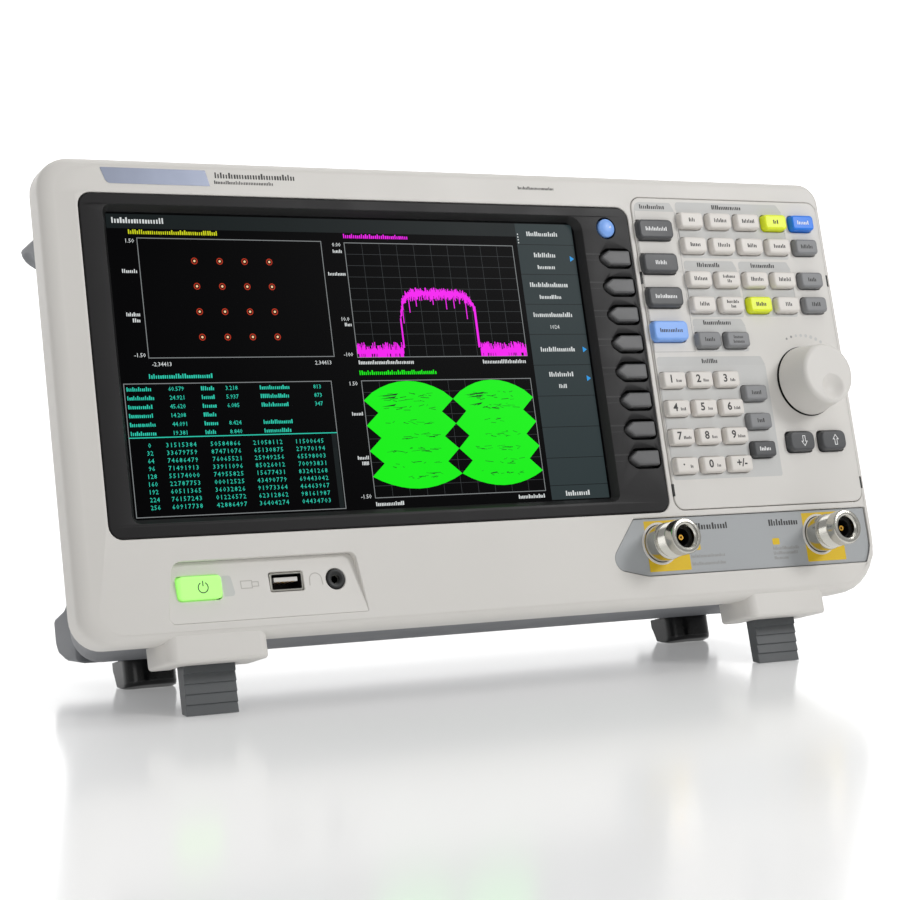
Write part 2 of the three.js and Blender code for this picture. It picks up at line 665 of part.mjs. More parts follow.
// A U-shaped handle: two arms on pins and a bar, drawn flat and then laid along the cover's top.
function carryHandle() {
  const { halfWidth, arm, root, length, bar, thickness, pin } = HANDLE
  const { corner, depth, width } = HANDLE_EDGE
  const shape = new THREE.Shape()
  const inner = halfWidth - arm
  shape.moveTo(-halfWidth, root)
  shape.lineTo(-inner, root)
  shape.lineTo(-inner, length - bar)
  shape.lineTo(inner, length - bar)
  shape.lineTo(inner, root)
  shape.lineTo(halfWidth, root)
  shape.absarc(halfWidth - corner, length - corner, corner, 0, Math.PI / 2)
  shape.absarc(-halfWidth + corner, length - corner, corner, Math.PI / 2, Math.PI)
  const flat = new THREE.ExtrudeGeometry(shape, {
    depth: thickness - 2 * depth,
    bevelEnabled: true,
    bevelThickness: depth,
    bevelSize: width,
    bevelOffset: -width,
    bevelSegments: 1,
    curveSegments: ARC_STEPS,
  })
  flat.translate(0, 0, depth - thickness / 2)
  const reach = HANDLE_WELL.halfWidth + 1.6
  return joined([
    solidOf(flat),
    crossPin(pin, -reach, -halfWidth + 3, 0, 0),
    crossPin(pin, halfWidth - 3, reach, 0, 0),
  ])
}

// ---------------------------------------------------------------- rear sockets

function acInlet() {
  const { width, height, flange, lip, reach } = INLET
  const w = width / 2
  const h = height / 2
  const seat = COVER.back + GAP
  const mouth = seat + lip
  const body = joined([
    boxSolid(-w - flange, w + flange, seat, mouth, -h - flange, h + flange),
    boxSolid(-w + GAP, w - GAP, seat - reach, seat + 1, -h + GAP, h - GAP),
  ])
  return body.subtract(boxSolid(
    -INLET_SLOT.width / 2, INLET_SLOT.width / 2, mouth - INLET_SLOT.depth, mouth + 1,
    -INLET_SLOT.height / 2, INLET_SLOT.height / 2,
  ))
}

function coaxSocket(plateFront, plateBack) {
  const { length, rim, bore, boreDepth, contact, nut, nutDepth, body } = COAX
  const end = plateBack + length
  const bottom = end - boreDepth
  const shoulder = plateBack + nutDepth
  const seat = plateFront + 0.4
  const tail = plateFront - 8
  return turned([
    [0, end - 3], [contact, end - 3], [contact, bottom], [bore, bottom], [bore, end], [rim, end],
    [rim, shoulder], [nut, shoulder], [nut, seat], [body, seat], [body, tail], [0, tail],
  ], 14)
}

// The rear plate carries three coaxial sockets, a network port and a square data port.
function ioPlate() {
  const { left, right, bottom, top, front, back } = IO_PLATE
  const middle = (bottom + top) / 2
  const mouth = back + IO_SHELL.proud
  const centred = (x, width, height, y0, y1) => (
    boxSolid(x - width / 2, x + width / 2, y0, y1, middle - height / 2, middle + height / 2)
  )
  const shells = PORTS.map(({ x, width, height, depth }) => (
    centred(x, width, height, back - depth - IO_SHELL.wall, mouth)
  ))
  const slots = PORTS.map(({ x, slotWidth, slotHeight, depth }) => (
    centred(x, slotWidth, slotHeight, mouth - depth, mouth + 1)
  ))
  const coaxes = COAXES.map((x) => coaxSocket(front, back).translate([x, 0, middle]))
  return cut(joined([boxSolid(left, right, front, back, bottom, top), ...coaxes, ...shells]), slots)
}

// ---------------------------------------------------------------- inside the case

function chassis() {
  const { front, back, bottom, halfWidth, top, floorHalf, flangeTop } = CHASSIS
  const upright = boxSolid(-halfWidth, halfWidth, front, front + SHEET, bottom, top)
  const floor = boxSolid(-floorHalf, floorHalf, front, back, bottom, bottom + SHEET)
  const flanges = sides.map(([, side]) => (
    boxSolid(side * floorHalf - SHEET / 2, side * floorHalf + SHEET / 2, front, back, bottom, flangeTop)
  ))
  const { radius, spots } = POSTS
  const post = turned([[0, POSTS.back], [radius, POSTS.back], [radius, POSTS.front], [0, POSTS.front]], 10)
  return joined([upright, floor, ...flanges, ...spots.map(([x, z]) => post.translate([x, 0, z]))])
}

function boxes(list) {
  return joined(list.map((box) => boxSolid(...box)))
}

function keypadBoard() {
  return boxSolid(BOARD.left, BOARD.right, BOARD.front, BOARD.back, BOARD.bottom, BOARD.top)
}

function fanFrame() {
  const half = FAN.size / 2
  const { front, back, bore, hub } = FAN
  const spoke = 2.5
  const spokes = [30, 150, 270].map((angle) => (
    boxSolid(0, bore + 1, back - spoke, back, -1.5, 1.5).rotate([0, angle, 0])
  ))
  const tube = cut(boxSolid(-half, half, front, back, -half, half), [
    turned([[0, back + 1], [bore, back + 1], [bore, front - 1], [0, front - 1]], 28),
  ])
  const plate = turned([[0, back], [hub, back], [hub, back - spoke], [0, back - spoke]], 20)
  return joined([tube, plate, ...spokes])
}

function fanRotor() {
  const { front, back, bore, hub, blades } = FAN
  const { thickness, chord, pitch } = FAN_BLADE
  const blade = boxSolid(hub - 2, bore - 1.2, -thickness / 2, thickness / 2, -chord / 2, chord / 2)
  const middle = (front + back) / 2 - 1.4
  const fan = Array.from({ length: blades }, (_, i) => (
    blade.rotate([pitch, 0, 0]).rotate([0, (i * 360) / blades, 0]).translate([0, middle, 0])
  ))
  return joined([turned([[0, back - 3], [hub, back - 3], [hub, front + 1.5], [0, front + 1.5]], 20), ...fan])
}

// ---------------------------------------------------------------- place every piece

place('front_bezel', frontBezel(), OFF_WHITE)
place('rear_cover', rearCover(), SHELL_GREY)
place('display_frame', displayFrame(), DARK_FRAME)
place('control_panel', controlPanel(), OFF_WHITE)
place('socket_band', socketBand(), BAND_GREY)

const moduleHalfW = (SCREEN.width + SCREEN_RIM.width) / 2
const moduleHalfH = (SCREEN.height + SCREEN_RIM.height) / 2
place('display_module', boxSolid(
  -moduleHalfW, moduleHalfW, SCREEN.recess, SCREEN.recess + SCREEN.depth, -moduleHalfH, moduleHalfH,
), SCREEN_GLASS, [SCREEN.x, 0, SCREEN.z])

const powerCap = keyCap(POWER_KEY, POWER_KEY.front, POWER_KEY.back, POCKET.boss + GAP)
place('power_key', powerCap, LIT_KEY, [POWER_KEY.x, 0, POWER_KEY.z])

place('round_key', roundCap(), BLUE_KEY, [ROUND_KEY.x, 0, ROUND_KEY.z])
softRows.forEach((z, i) => place(`soft_key_${i + 1}`, softCap(), DARK_KEY, [SOFT.x, 0, z]))

for (const { name, x, z, size, look } of panelKeys()) {
  place(name, keyCap(size), look, [x, 0, z])
}
place('function_key_mat', functionKeyMat(), PALE_KEY)

place('rotary_encoder', encoder(), NICKEL, [ENCODER.x, 0, ENCODER.z])
place('tuning_knob', knob(), OFF_WHITE, [ENCODER.x, 0, ENCODER.z])
place('rf_output_socket', rfSocket(), NICKEL, [RF.left, 0, RF.z])
place('rf_input_socket', rfSocket(), NICKEL, [RF.right, 0, RF.z])
place('usb_port', usbPort(), NICKEL, [USB.x, 0, USB.z])
place('headphone_jack', headphoneJack(), BLACK_PLASTIC, [JACK.x, 0, JACK.z])

for (const [label, side] of sides) {
  place(`leg_housing_${label}`, legHousing(side), OFF_WHITE, [side * HOUSING.x, 0, 0])
  place(`tilt_leg_${label}`, tiltLeg(), LEG_GREY, [side * HOUSING.x, 0, 0])
  place(`rear_foot_${label}`, rearFoot(side), FOOT_RUBBER, [side * FOOT.x, 0, 0])
}

const handle = place('carry_handle', carryHandle(), SHELL_GREY, [0, HANDLE_WELL.pivot, handlePivotZ()])
handle.rotation.x = -topSlope

place('ac_inlet', acInlet(), BLACK_PLASTIC, [INLET.x, 0, INLET.z])
place('rear_socket_plate', ioPlate(), NICKEL)

place('chassis', chassis(), SHEET_STEEL)
place('main_board', boxes([MAIN_BOARD, ...CHIPS]), CIRCUIT)
place('keypad_board', keypadBoard(), CIRCUIT)
place('rf_module', boxes(RF_MODULE), SHEET_STEEL)
place('power_supply', boxes(POWER_SUPPLY), SHEET_STEEL)
place('fan_frame', fanFrame(), BLACK_PLASTIC, [FAN.x, 0, FAN.z])
place('fan_rotor', fanRotor(), BLACK_PLASTIC, [FAN.x, 0, FAN.z])

// The origin is on the floor, under the middle of the leaning case.
const instrument = new THREE.Group()
instrument.add(caseGroup)
instrument.updateMatrixWorld(true)
const bounds = new THREE.Box3().setFromObject(caseGroup, true)
const centre = bounds.getCenter(new THREE.Vector3())
caseGroup.position.set(-centre.x, -centre.y, -bounds.min.z)

export default instrument
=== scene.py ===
import json
import math
import random

import bpy
import bmesh
from mathutils import Matrix, Vector, geometry


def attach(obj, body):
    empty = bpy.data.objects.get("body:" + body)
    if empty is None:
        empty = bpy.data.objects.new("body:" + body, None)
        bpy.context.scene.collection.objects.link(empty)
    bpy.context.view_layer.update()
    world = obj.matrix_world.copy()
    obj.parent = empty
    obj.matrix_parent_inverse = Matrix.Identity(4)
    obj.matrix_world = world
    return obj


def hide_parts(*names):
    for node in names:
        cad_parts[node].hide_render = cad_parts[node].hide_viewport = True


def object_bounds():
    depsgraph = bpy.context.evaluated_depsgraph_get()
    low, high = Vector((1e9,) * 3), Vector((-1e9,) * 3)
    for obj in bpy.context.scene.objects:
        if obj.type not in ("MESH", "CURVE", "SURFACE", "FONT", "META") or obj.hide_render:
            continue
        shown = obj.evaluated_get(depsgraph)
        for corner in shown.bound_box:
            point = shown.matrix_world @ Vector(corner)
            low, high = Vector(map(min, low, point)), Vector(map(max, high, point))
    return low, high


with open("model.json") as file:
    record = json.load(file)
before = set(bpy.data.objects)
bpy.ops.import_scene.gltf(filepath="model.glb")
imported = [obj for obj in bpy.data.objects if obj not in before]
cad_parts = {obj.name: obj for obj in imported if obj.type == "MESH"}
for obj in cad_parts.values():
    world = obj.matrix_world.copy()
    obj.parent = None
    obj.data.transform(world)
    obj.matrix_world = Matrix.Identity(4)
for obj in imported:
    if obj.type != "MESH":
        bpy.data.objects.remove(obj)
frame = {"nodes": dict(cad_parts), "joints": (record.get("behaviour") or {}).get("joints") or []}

CAD_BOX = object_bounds()
MM = 0.001

# ---------------------------------------------------------------- the case's own frame
# Pieces are drawn in millimetres in the case's frame: x to the right from the case's middle, y back
# from the bezel's face and z up the panel from the bezel's lower edge. The case leans back, and the
# power key's axis says by how much.

joints = {j["name"]: j for j in frame["joints"]}
press = Vector(joints["power_key_press"]["axis"])
TILT = math.atan2(-press.z, press.y)
LEAN = Matrix.Rotation(-TILT, 4, "X")


class Box:
    def __init__(self, points):
        self.x0, self.x1 = min(p.x for p in points), max(p.x for p in points)
        self.y0, self.y1 = min(p.y for p in points), max(p.y for p in points)
        self.z0, self.z1 = min(p.z for p in points), max(p.z for p in points)
        self.cx, self.cy, self.cz = (self.x0 + self.x1) / 2, (self.y0 + self.y1) / 2, (self.z0 + self.z1) / 2
        self.w, self.h = self.x1 - self.x0, self.z1 - self.z0


def upright(node):
    turn = LEAN.inverted()
    return [turn @ v.co / MM for v in frame["nodes"][node].data.vertices]


bezel_box = Box(upright("front_bezel"))
ORIGIN = Vector((bezel_box.cx, bezel_box.y0, bezel_box.z0))
CASE = LEAN @ Matrix.Scale(MM, 4) @ Matrix.Translation(ORIGIN)


def case_points(node):
    return [p - ORIGIN for p in upright(node)]


def case_box(node):
    return Box(case_points(node))


FLOOR_Z = min(CAD_BOX[0][2], CAD_BOX[1][2])


def floor_at(y):
    """The floor's z in the case's frame, where its y is known."""
    turned = LEAN.inverted() @ Vector((0, 0, FLOOR_Z)) / MM - ORIGIN
    return turned.z + (y - turned.y) * math.tan(TILT)


# ---------------------------------------------------------------- materials

def new_material(name):
    look = bpy.data.materials.new(name)
    look.use_nodes = True
    tree = look.node_tree
    return look, tree, tree.nodes["Principled BSDF"]


def noise_node(tree, scale, detail=3.0, stretch=None):
    coords = tree.nodes.new("ShaderNodeTexCoord")
    noise = tree.nodes.new("ShaderNodeTexNoise")
    noise.inputs["Scale"].default_value = scale
    noise.inputs["Detail"].default_value = detail
    source = coords.outputs["Object"]
    if stretch:
        mapping = tree.nodes.new("ShaderNodeMapping")
        mapping.inputs["Scale"].default_value = stretch
        tree.links.new(source, mapping.inputs["Vector"])
        source = mapping.outputs["Vector"]
    tree.links.new(source, noise.inputs["Vector"])
    return noise


def spread(tree, source, low, high, target):
    span = tree.nodes.new("ShaderNodeMapRange")
    span.inputs["To Min"].default_value = low
    span.inputs["To Max"].default_value = high
    tree.links.new(source, span.inputs["Value"])
    tree.links.new(span.outputs["Result"], target)


def shade(tree, source, colour, change, target):
    """A colour that drifts a little lighter and darker over the surface."""
    mix = tree.nodes.new("ShaderNodeMix")
    mix.data_type = "RGBA"
    mix.inputs[6].default_value = [c * (1 - change) for c in colour] + [1]
    mix.inputs[7].default_value = [min(1, c * (1 + change)) for c in colour] + [1]
    tree.links.new(source, mix.inputs[0])
    tree.links.new(mix.outputs[2], target)


def bump(tree, source, bsdf, depth, strength):
    node = tree.nodes.new("ShaderNodeBump")
    node.inputs["Strength"].default_value = strength
    node.inputs["Distance"].default_value = depth * MM
    tree.links.new(source, node.inputs["Height"])
    tree.links.new(node.outputs["Normal"], bsdf.inputs["Normal"])


def linear(hex_colour):
    parts = [int(hex_colour[i:i + 2], 16) / 255 for i in (1, 3, 5)]
    return [c / 12.92 if c <= 0.04045 else ((c + 0.055) / 1.055) ** 2.4 for c in parts]


def plastic(name, colour, rough=0.5, grain=0.35, depth=0.02, change=0.03, sheen=0.0, gloss=0.5):
    """Moulded plastic: spark-eroded grain, slow drift of colour, and gloss that varies by handling."""
    look, tree, bsdf = new_material(name)
    rgb = linear(colour)
    slow = noise_node(tree, 18, 2)
    shade(tree, slow.outputs["Fac"], rgb, change, bsdf.inputs["Base Color"])
    handled = noise_node(tree, 55, 4)
    spread(tree, handled.outputs["Fac"], rough - 0.08, rough + 0.08, bsdf.inputs["Roughness"])
    fine = noise_node(tree, 1 / (grain * MM), 2)
    bump(tree, fine.outputs["Fac"], bsdf, depth, 0.5)
    bsdf.inputs["Specular IOR Level"].default_value = gloss
    bsdf.inputs["Coat Weight"].default_value = sheen
    bsdf.inputs["Coat Roughness"].default_value = 0.25
    return look


def metal(name, colour, rough=0.22, brush=None, depth=0.004):
    look, tree, bsdf = new_material(name)
    slow = noise_node(tree, 120, 3)
    shade(tree, slow.outputs["Fac"], linear(colour), 0.08, bsdf.inputs["Base Color"])
    streak = noise_node(tree, 900, 4, brush)
    spread(tree, streak.outputs["Fac"], rough - 0.07, rough + 0.1, bsdf.inputs["Roughness"])
    bump(tree, streak.outputs["Fac"], bsdf, depth, 0.4)
    bsdf.inputs["Metallic"].default_value = 1.0
    return look


def glowing(name, colour, power, body=1.0, shine=0.5):
    """Light from the display, or from a lit key: faintly uneven, as a backlight is."""
    look, tree, bsdf = new_material(name)
    rgb = linear(colour)
    slow = noise_node(tree, 30, 2)
    shade(tree, slow.outputs["Fac"], [c * body for c in rgb], 0.04, bsdf.inputs["Base Color"])
    bsdf.inputs["Specular IOR Level"].default_value = shine
    shade(tree, slow.outputs["Fac"], rgb, 0.04, bsdf.inputs["Emission Color"])
    bsdf.inputs["Emission Strength"].default_value = power
    spread(tree, slow.outputs["Fac"], 0.25, 0.35, bsdf.inputs["Roughness"])
    fine = noise_node(tree, 4000, 1)
    bump(tree, fine.outputs["Fac"], bsdf, 0.004, 0.2)
    return look


OFF_WHITE = plastic("off_white_plastic", "#dedbd6", 0.48, 0.3, 0.012)
KEY_WHITE = plastic("pale_key_plastic", "#e2ddd7", 0.42, 0.25, 0.008)
SHELL_GREY = plastic("shell_grey_plastic", "#74767a", 0.5, 0.55, 0.05)
BAND_GREY = plastic("band_grey_plastic", "#aaadaf", 0.45, 0.3, 0.012)
DARK_FRAME = plastic("dark_frame_plastic", "#1d1c1d", 0.42, 0.45, 0.03, gloss=0.2)
# Near-black: painted shade in gaps, wells, slots and the USB mouth, a painted shadow ring round the knob's
# foot, and thin printed lines by the soft keys.
BLACK_PRINT_AND_GAP_SHADE = plastic("black_print_and_painted_gap_shade", "#0b0b0c", 0.5, 0.4, 0.02)
SOFT_GREY = plastic("soft_key_plastic", "#5a5a5b", 0.45, 0.25, 0.01)
KEY_DARK = plastic("dark_key_plastic", "#4f5052", 0.42, 0.25, 0.01, gloss=0.4)
KEY_MID = plastic("mid_key_plastic", "#858688", 0.45, 0.25, 0.008)
KEY_BLUE = plastic("light_blue_key_plastic", "#84b3fd", 0.38, 0.25, 0.008)
KEY_LIME = plastic("lime_key_plastic", "#eefc22", 0.38, 0.25, 0.008)
KEY_STRONG = plastic("strong_blue_key_plastic", "#0a7df0", 0.38, 0.25, 0.008)
LEG_GREY = plastic("leg_grey_plastic", "#55585a", 0.5, 0.5, 0.03)
FOOT_BLACK = plastic("foot_rubber", "#060708", 0.2, 0.8, 0.01, sheen=0.25, gloss=0.3)
# Black plastic, and painted shade: the black bars that stand for the screws' cross slots.
BLACK_PLASTIC_AND_SLOT_SHADE = plastic("black_plastic", "#151617", 0.45, 0.4, 0.02)
NICKEL = metal("nickel_plated_metal", "#d2d0c8", 0.16)
GOLD = metal("gold_plated_metal", "#e8b04a", 0.2)
STEEL = metal("sheet_steel", "#a9acae", 0.35, (1, 1, 14))
BOARD_GREEN = plastic("circuit_board", "#1f5a3a", 0.4, 0.5, 0.02)
INK_DARK = plastic("dark_print", "#3c3b3b", 0.6, 0.2, 0.004)
INK_WHITE = plastic("white_print", "#f2f2f2", 0.55, 0.2, 0.004)
INK_FAINT = plastic("moulded_mark", "#bdb9b3", 0.5, 0.2, 0.004)
# Pale grey: the panel's printed fields and tick dots, and the painted shadow beside the power key.
PALE_PRINT_AND_KEY_SHADOW = plastic("pale_grey_print_and_painted_key_shadow", "#ccccca", 0.5, 0.25, 0.006)
INK_HEADER = plastic("mid_grey_print", "#c9c9c7", 0.5, 0.25, 0.006)
INK_YELLOW = plastic("yellow_print", "#e3bd00", 0.5, 0.25, 0.006)
LINE_GREY = plastic("grey_print", "#9b9a98", 0.55, 0.2, 0.004)
BADGE = metal("badge_foil", "#8a90a0", 0.32, (14, 1, 1))
LIT_GREEN = glowing("lit_key", "#a9f07e", 0.55)
SCREEN_DARK = glowing("screen_black", "#030304", 0.6, 0.5, 0.02)
PIX_CYAN = glowing("screen_cyan", "#2fd0b4", 0.9, 0.02, 0.05)
PIX_GREEN = glowing("screen_green", "#12f312", 0.95, 0.02, 0.05)
PIX_MAGENTA = glowing("screen_magenta", "#f81cf4", 0.95, 0.02, 0.05)
PIX_YELLOW = glowing("screen_yellow", "#d6dc1c", 0.9, 0.02, 0.05)
PIX_TEXT = glowing("screen_text", "#e2e6e6", 0.85, 0.02, 0.05)
PIX_FAINT = glowing("screen_separator", "#12191b", 0.9, 0.02, 0.05)
PIX_GRID = glowing("screen_grid", "#3c4042", 0.9, 0.02, 0.05)
PIX_MENU = glowing("screen_menu", "#2c3739", 0.95, 0.02, 0.05)
PIX_BAR = glowing("screen_bar", "#151c1d", 0.95, 0.02, 0.05)
PIX_RING = glowing("screen_ring", "#b5331c", 0.9, 0.02, 0.05)
PIX_SPOT = glowing("screen_spot", "#ffd9a8", 0.95, 0.02, 0.05)
PIX_MARK = glowing("screen_mark", "#2c9be6", 0.95, 0.02, 0.05)
PIX_LINE = glowing("screen_line", "#8d9192", 0.8, 0.02, 0.05)

# ---------------------------------------------------------------- outlines and solids

def outline(points, radius, grow=0.0, steps=6):
    """A closed outline through counter-clockwise corners, grown outwards, with its corners rounded."""
    count = len(points)
    radii = radius if isinstance(radius, (list, tuple)) else [radius] * count
    edges = []
    for i in range(count):
        a, b = Vector(points[i]), Vector(points[(i + 1) % count])
        along = (b - a).normalized()
        edges.append((a + Vector((along.y, -along.x)) * grow, along))
    ring = []
    for i in range(count):
        (p, d), (q, e) = edges[i - 1], edges[i]
        cross = d.x * e.y - d.y * e.x
        gap = q - p
        corner = q if abs(cross) < 1e-9 else p + d * ((gap.x * e.y - gap.y * e.x) / cross)
        r = max(radii[i] + (grow if cross > 0 else -grow), 0.02)
        turn = math.atan2(cross, d.dot(e))
        side = 1 if cross > 0 else -1
        start = corner - d * (r * math.tan(abs(turn) / 2))
        centre = start + Vector((-d.y, d.x)) * (r * side)
        first = math.atan2(start.y - centre.y, start.x - centre.x)
        for k in range(steps + 1):
            angle = first + turn * k / steps
            ring.append((centre.x + r * math.cos(angle), centre.y + r * math.sin(angle)))
    return ring


def rect(x0, x1, z0, z1, radius, steps=6):
    corners = [(x0, z0), (x1, z0), (x1, z1), (x0, z1)]
    return lambda grow=0.0: outline(corners, radius, grow, steps)


def shape(points, radius, steps=6):
    return lambda grow=0.0: outline(points, radius, grow, steps)


def disc(x, z, radius, steps=40):
    def ring(grow=0.0):
        turns = [2 * math.pi * k / steps for k in range(steps)]
        return [(x + (radius + grow) * math.cos(a), z + (radius + grow) * math.sin(a)) for a in turns]
    return ring


def rounded(front, edge, back, grow=0.0, steps=4):
    """The path of a wall whose front edge is rounded: pairs of depth and growth."""
    turns = [math.pi / 2 * k / steps for k in range(steps + 1)]
    path = [(front + edge * (1 - math.cos(t)), grow - edge * (1 - math.sin(t))) for t in turns]
    return path + [(back, grow)]


class Form:
    """Faces collected in the case's millimetres, each with the number of its material."""

    def __init__(self):
        self.verts, self.faces, self.looks = [], [], []

    def points(self, ring, y):
        start = len(self.verts)
        for x, z in ring:
            self.verts.append(Vector((x, y, z)))
        return list(range(start, len(self.verts)))

    def face(self, corners, look):
        self.faces.append(corners)
        self.looks.append(look)

    def strip(self, a, b, look):
        for i in range(len(a)):
            j = (i + 1) % len(a)
            self.face([a[i], a[j], b[j], b[i]], look)

    def cap(self, rings, look):
        loops = [[Vector((self.verts[i].x, self.verts[i].z, 0)) for i in ring] for ring in rings]
        order = [i for ring in rings for i in ring]
        for corners in geometry.tessellate_polygon(loops):
            self.face([order[c] for c in corners], look)

    def wall(self, ring, path, look):
        """Walls through a path of (depth, growth). Returns the first and last rings."""
        rings = []
        for y, grow in path:
            rings.append(self.points(ring(grow), y))
        for a, b in zip(rings, rings[1:]):
            self.strip(a, b, look)
        return rings[0], rings[-1]

    def plate(self, outer, path, holes=(), hole_path=None, look=0):
        """A closed plate: an outer wall, walls round its holes, and a face at the front and the back."""
        ends = [self.wall(outer, path, look)]
        for hole in holes:
            walls = [(y, -grow) for y, grow in (hole_path or path)]
            ends.append(self.wall(hole, walls, look))
        self.cap([first for first, _ in ends], look)
        self.cap([last for _, last in ends], look)

    def slab(self, ring, front, back, look=0):
        drawn = ring() if callable(ring) else ring
        self.plate(lambda grow: drawn, [(front, 0), (back, 0)], look=look)

    def lathe(self, x, z, profile, look=0, steps=48):
        """A body turned about the y axis through (x, z): its profile is a list of (radius, depth)."""
        rings = []
        for radius, y in profile:
            if radius < 1e-6:
                self.verts.append(Vector((x, y, z)))
                rings.append([len(self.verts) - 1])
            else:
                rings.append(self.points(disc(x, z, radius, steps)(), y))
        for a, b in zip(rings, rings[1:]):
            if len(a) == 1 and len(b) == 1:
                continue
            if len(a) == 1:
                for i in range(steps):
                    self.face([a[0], b[i], b[(i + 1) % steps]], look)
            elif len(b) == 1:
                for i in range(steps):
                    self.face([a[i], a[(i + 1) % steps], b[0]], look)
            else:
                self.strip(a, b, look)

    def line(self, points, width, y, look, closed=False, depth=0.12):
        """A printed line through points, as a thin raised strip with square ends."""
        path = [Vector(p) for p in points]
        count = len(path)
        left, right = [], []
        for i, p in enumerate(path):
            before = path[i - 1] if (closed or i) else None
            after = path[(i + 1) % count] if (closed or i < count - 1) else None
            d = ((p - before).normalized() if before is not None else Vector((0, 0)))
            e = ((after - p).normalized() if after is not None else Vector((0, 0)))
            along = (d + e).normalized() if (d + e).length > 1e-6 else e
            normal = Vector((-along.y, along.x))
            reach = width / 2
            if before is not None and after is not None:
                reach /= max(0.35, normal.dot(Vector((-d.y, d.x))))
            left.append(p + normal * reach)
            right.append(p - normal * reach)
        spans = range(count if closed else count - 1)
        front = [self.points([(p.x, p.y) for p in side], y) for side in (left, right)]
        back = [self.points([(p.x, p.y) for p in side], y + depth) for side in (left, right)]
        for i in spans:
            j = (i + 1) % count
            self.face([front[0][i], front[0][j], front[1][j], front[1][i]], look)
            self.face([back[0][i], back[1][i], back[1][j], back[0][j]], look)
            self.face([front[0][i], back[0][i], back[0][j], front[0][j]], look)
            self.face([front[1][i], front[1][j], back[1][j], back[1][i]], look)
        if not closed:
            for i in (0, count - 1):
                self.face([front[0][i], front[1][i], back[1][i], back[0][i]], look)

    def print_on(self, ring, y, look, thick=0.05, sunk=0.1):
        """A printed patch that stands a hair proud of the face at y."""
        self.slab(ring, y - thick, y + sunk, look)

    def dashes(self, x, z, width, height, y, look, seed, thick=0.05):
        """Short upright strokes of uneven height in a row: they stand where a word would, and say nothing."""
        dice = random.Random(seed)
        count = max(2, round(width / (height * 0.5)))
        pitch = width / count
        low = z - height / 2
        for k in range(count):
            tall = height * (1 if k == 0 else dice.choice((0.66, 0.72, 0.72, 1)))
            x0 = x - width / 2 + k * pitch
            wide = pitch * dice.choice((0.5, 0.58, 0.66))
            self.print_on(rect(x0, x0 + wide, low, low + tall, 0.02, 1), y, look, thick)

    def glyph(self, text, x, z, height, y, look, thick=0.05, space=1.0, weight=0.0):
        """Numerals or a plain sign from Blender's own font, centred on (x, z)."""
        curve = bpy.data.curves.new("numeral", "FONT")
        curve.body = text
        curve.size = height / 0.7
        curve.extrude = 0.5
        curve.resolution_u = 3 if height > 2.5 else 1
        curve.space_character = space
        curve.offset = weight
        holder = bpy.data.objects.new("numeral", curve)
        mesh = bpy.data.meshes.new_from_object(holder)
        xs = [v.co.x for v in mesh.vertices]
        ys = [v.co.y for v in mesh.vertices]
        mid_x, mid_y = (min(xs) + max(xs)) / 2, (min(ys) + max(ys)) / 2
        start = len(self.verts)
        for v in mesh.vertices:
            depth = y - thick if v.co.z > 0 else y + 0.1
            self.verts.append(Vector((x + v.co.x - mid_x, depth, z + v.co.y - mid_y)))
        for polygon in mesh.polygons:
            self.face([start + i for i in polygon.vertices], look)
        bpy.data.objects.remove(holder)
        bpy.data.curves.remove(curve)
        bpy.data.meshes.remove(mesh)


def mesh_of(name, form, looks, matrix=CASE):
    mesh = bpy.data.meshes.new(name)
    mesh.from_pydata([matrix @ v for v in form.verts], [], form.faces)
    for look in looks:
        mesh.materials.append(look)
    mesh.polygons.foreach_set("material_index", form.looks)
    work = bmesh.new()
    work.from_mesh(mesh)
    bmesh.ops.remove_doubles(work, verts=work.verts, dist=1e-7)
    bmesh.ops.recalc_face_normals(work, faces=work.faces)
    work.to_mesh(mesh)
    work.free()
    return mesh


def finish_piece(name, mesh, body, replaces=(), angle=38, weighted=True):
    mesh.shade_smooth()
    mesh.set_sharp_from_angle(angle=math.radians(angle))
    obj = bpy.data.objects.new(name, mesh)
    bpy.context.scene.collection.objects.link(obj)
    if weighted:
        normals = obj.modifiers.new("normals", "WEIGHTED_NORMAL")
        normals.keep_sharp = True
        normals.weight = 60
    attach(obj, body)
    if replaces:
        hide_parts(*replaces)
    return obj


def piece(name, form, looks, body, replaces=(), angle=38, weighted=True, matrix=CASE):
    return finish_piece(name, mesh_of(name, form, looks, matrix), body, replaces, angle, weighted)


# ---------------------------------------------------------------- places read from the frame

CASE_W, CASE_H = bezel_box.w, bezel_box.h
HALF = CASE_W / 2
SEAM = bezel_box.y1 - bezel_box.y0
screen_node = case_box("display_module")
frame_box = case_box("display_frame")
panel_box = case_box("control_panel")
band_box = case_box("socket_band")
GAP = 0.3

# ---------------------------------------------------------------- front bezel

EDGE, EDGE_DEPTH = 4.0, 5.5
SIDE_ROUND, FACET = 7.5, 6.5
FACET_SLOPE = 0.16
CASE_RADII = [13, 24, 10, 14]


def case_ring(draw, left, left_low, steps=8):
    """The case's outline drawn in by `draw`, its left edge by `left`, or by `left_low` at its foot."""
    x1, z0, z1 = HALF - draw, draw, CASE_H - draw
    x0, low = -HALF + left, -HALF + left_low
    bend = frame_box.z0 + 6
    corners = [(low, z0), (x1, z0), (x1, z1), (x0, z1), (x0, bend)]
    radii = [max(r - draw * 0.6, 1) for r in CASE_RADII] + [1]
    return outline(corners, radii, 0, steps)


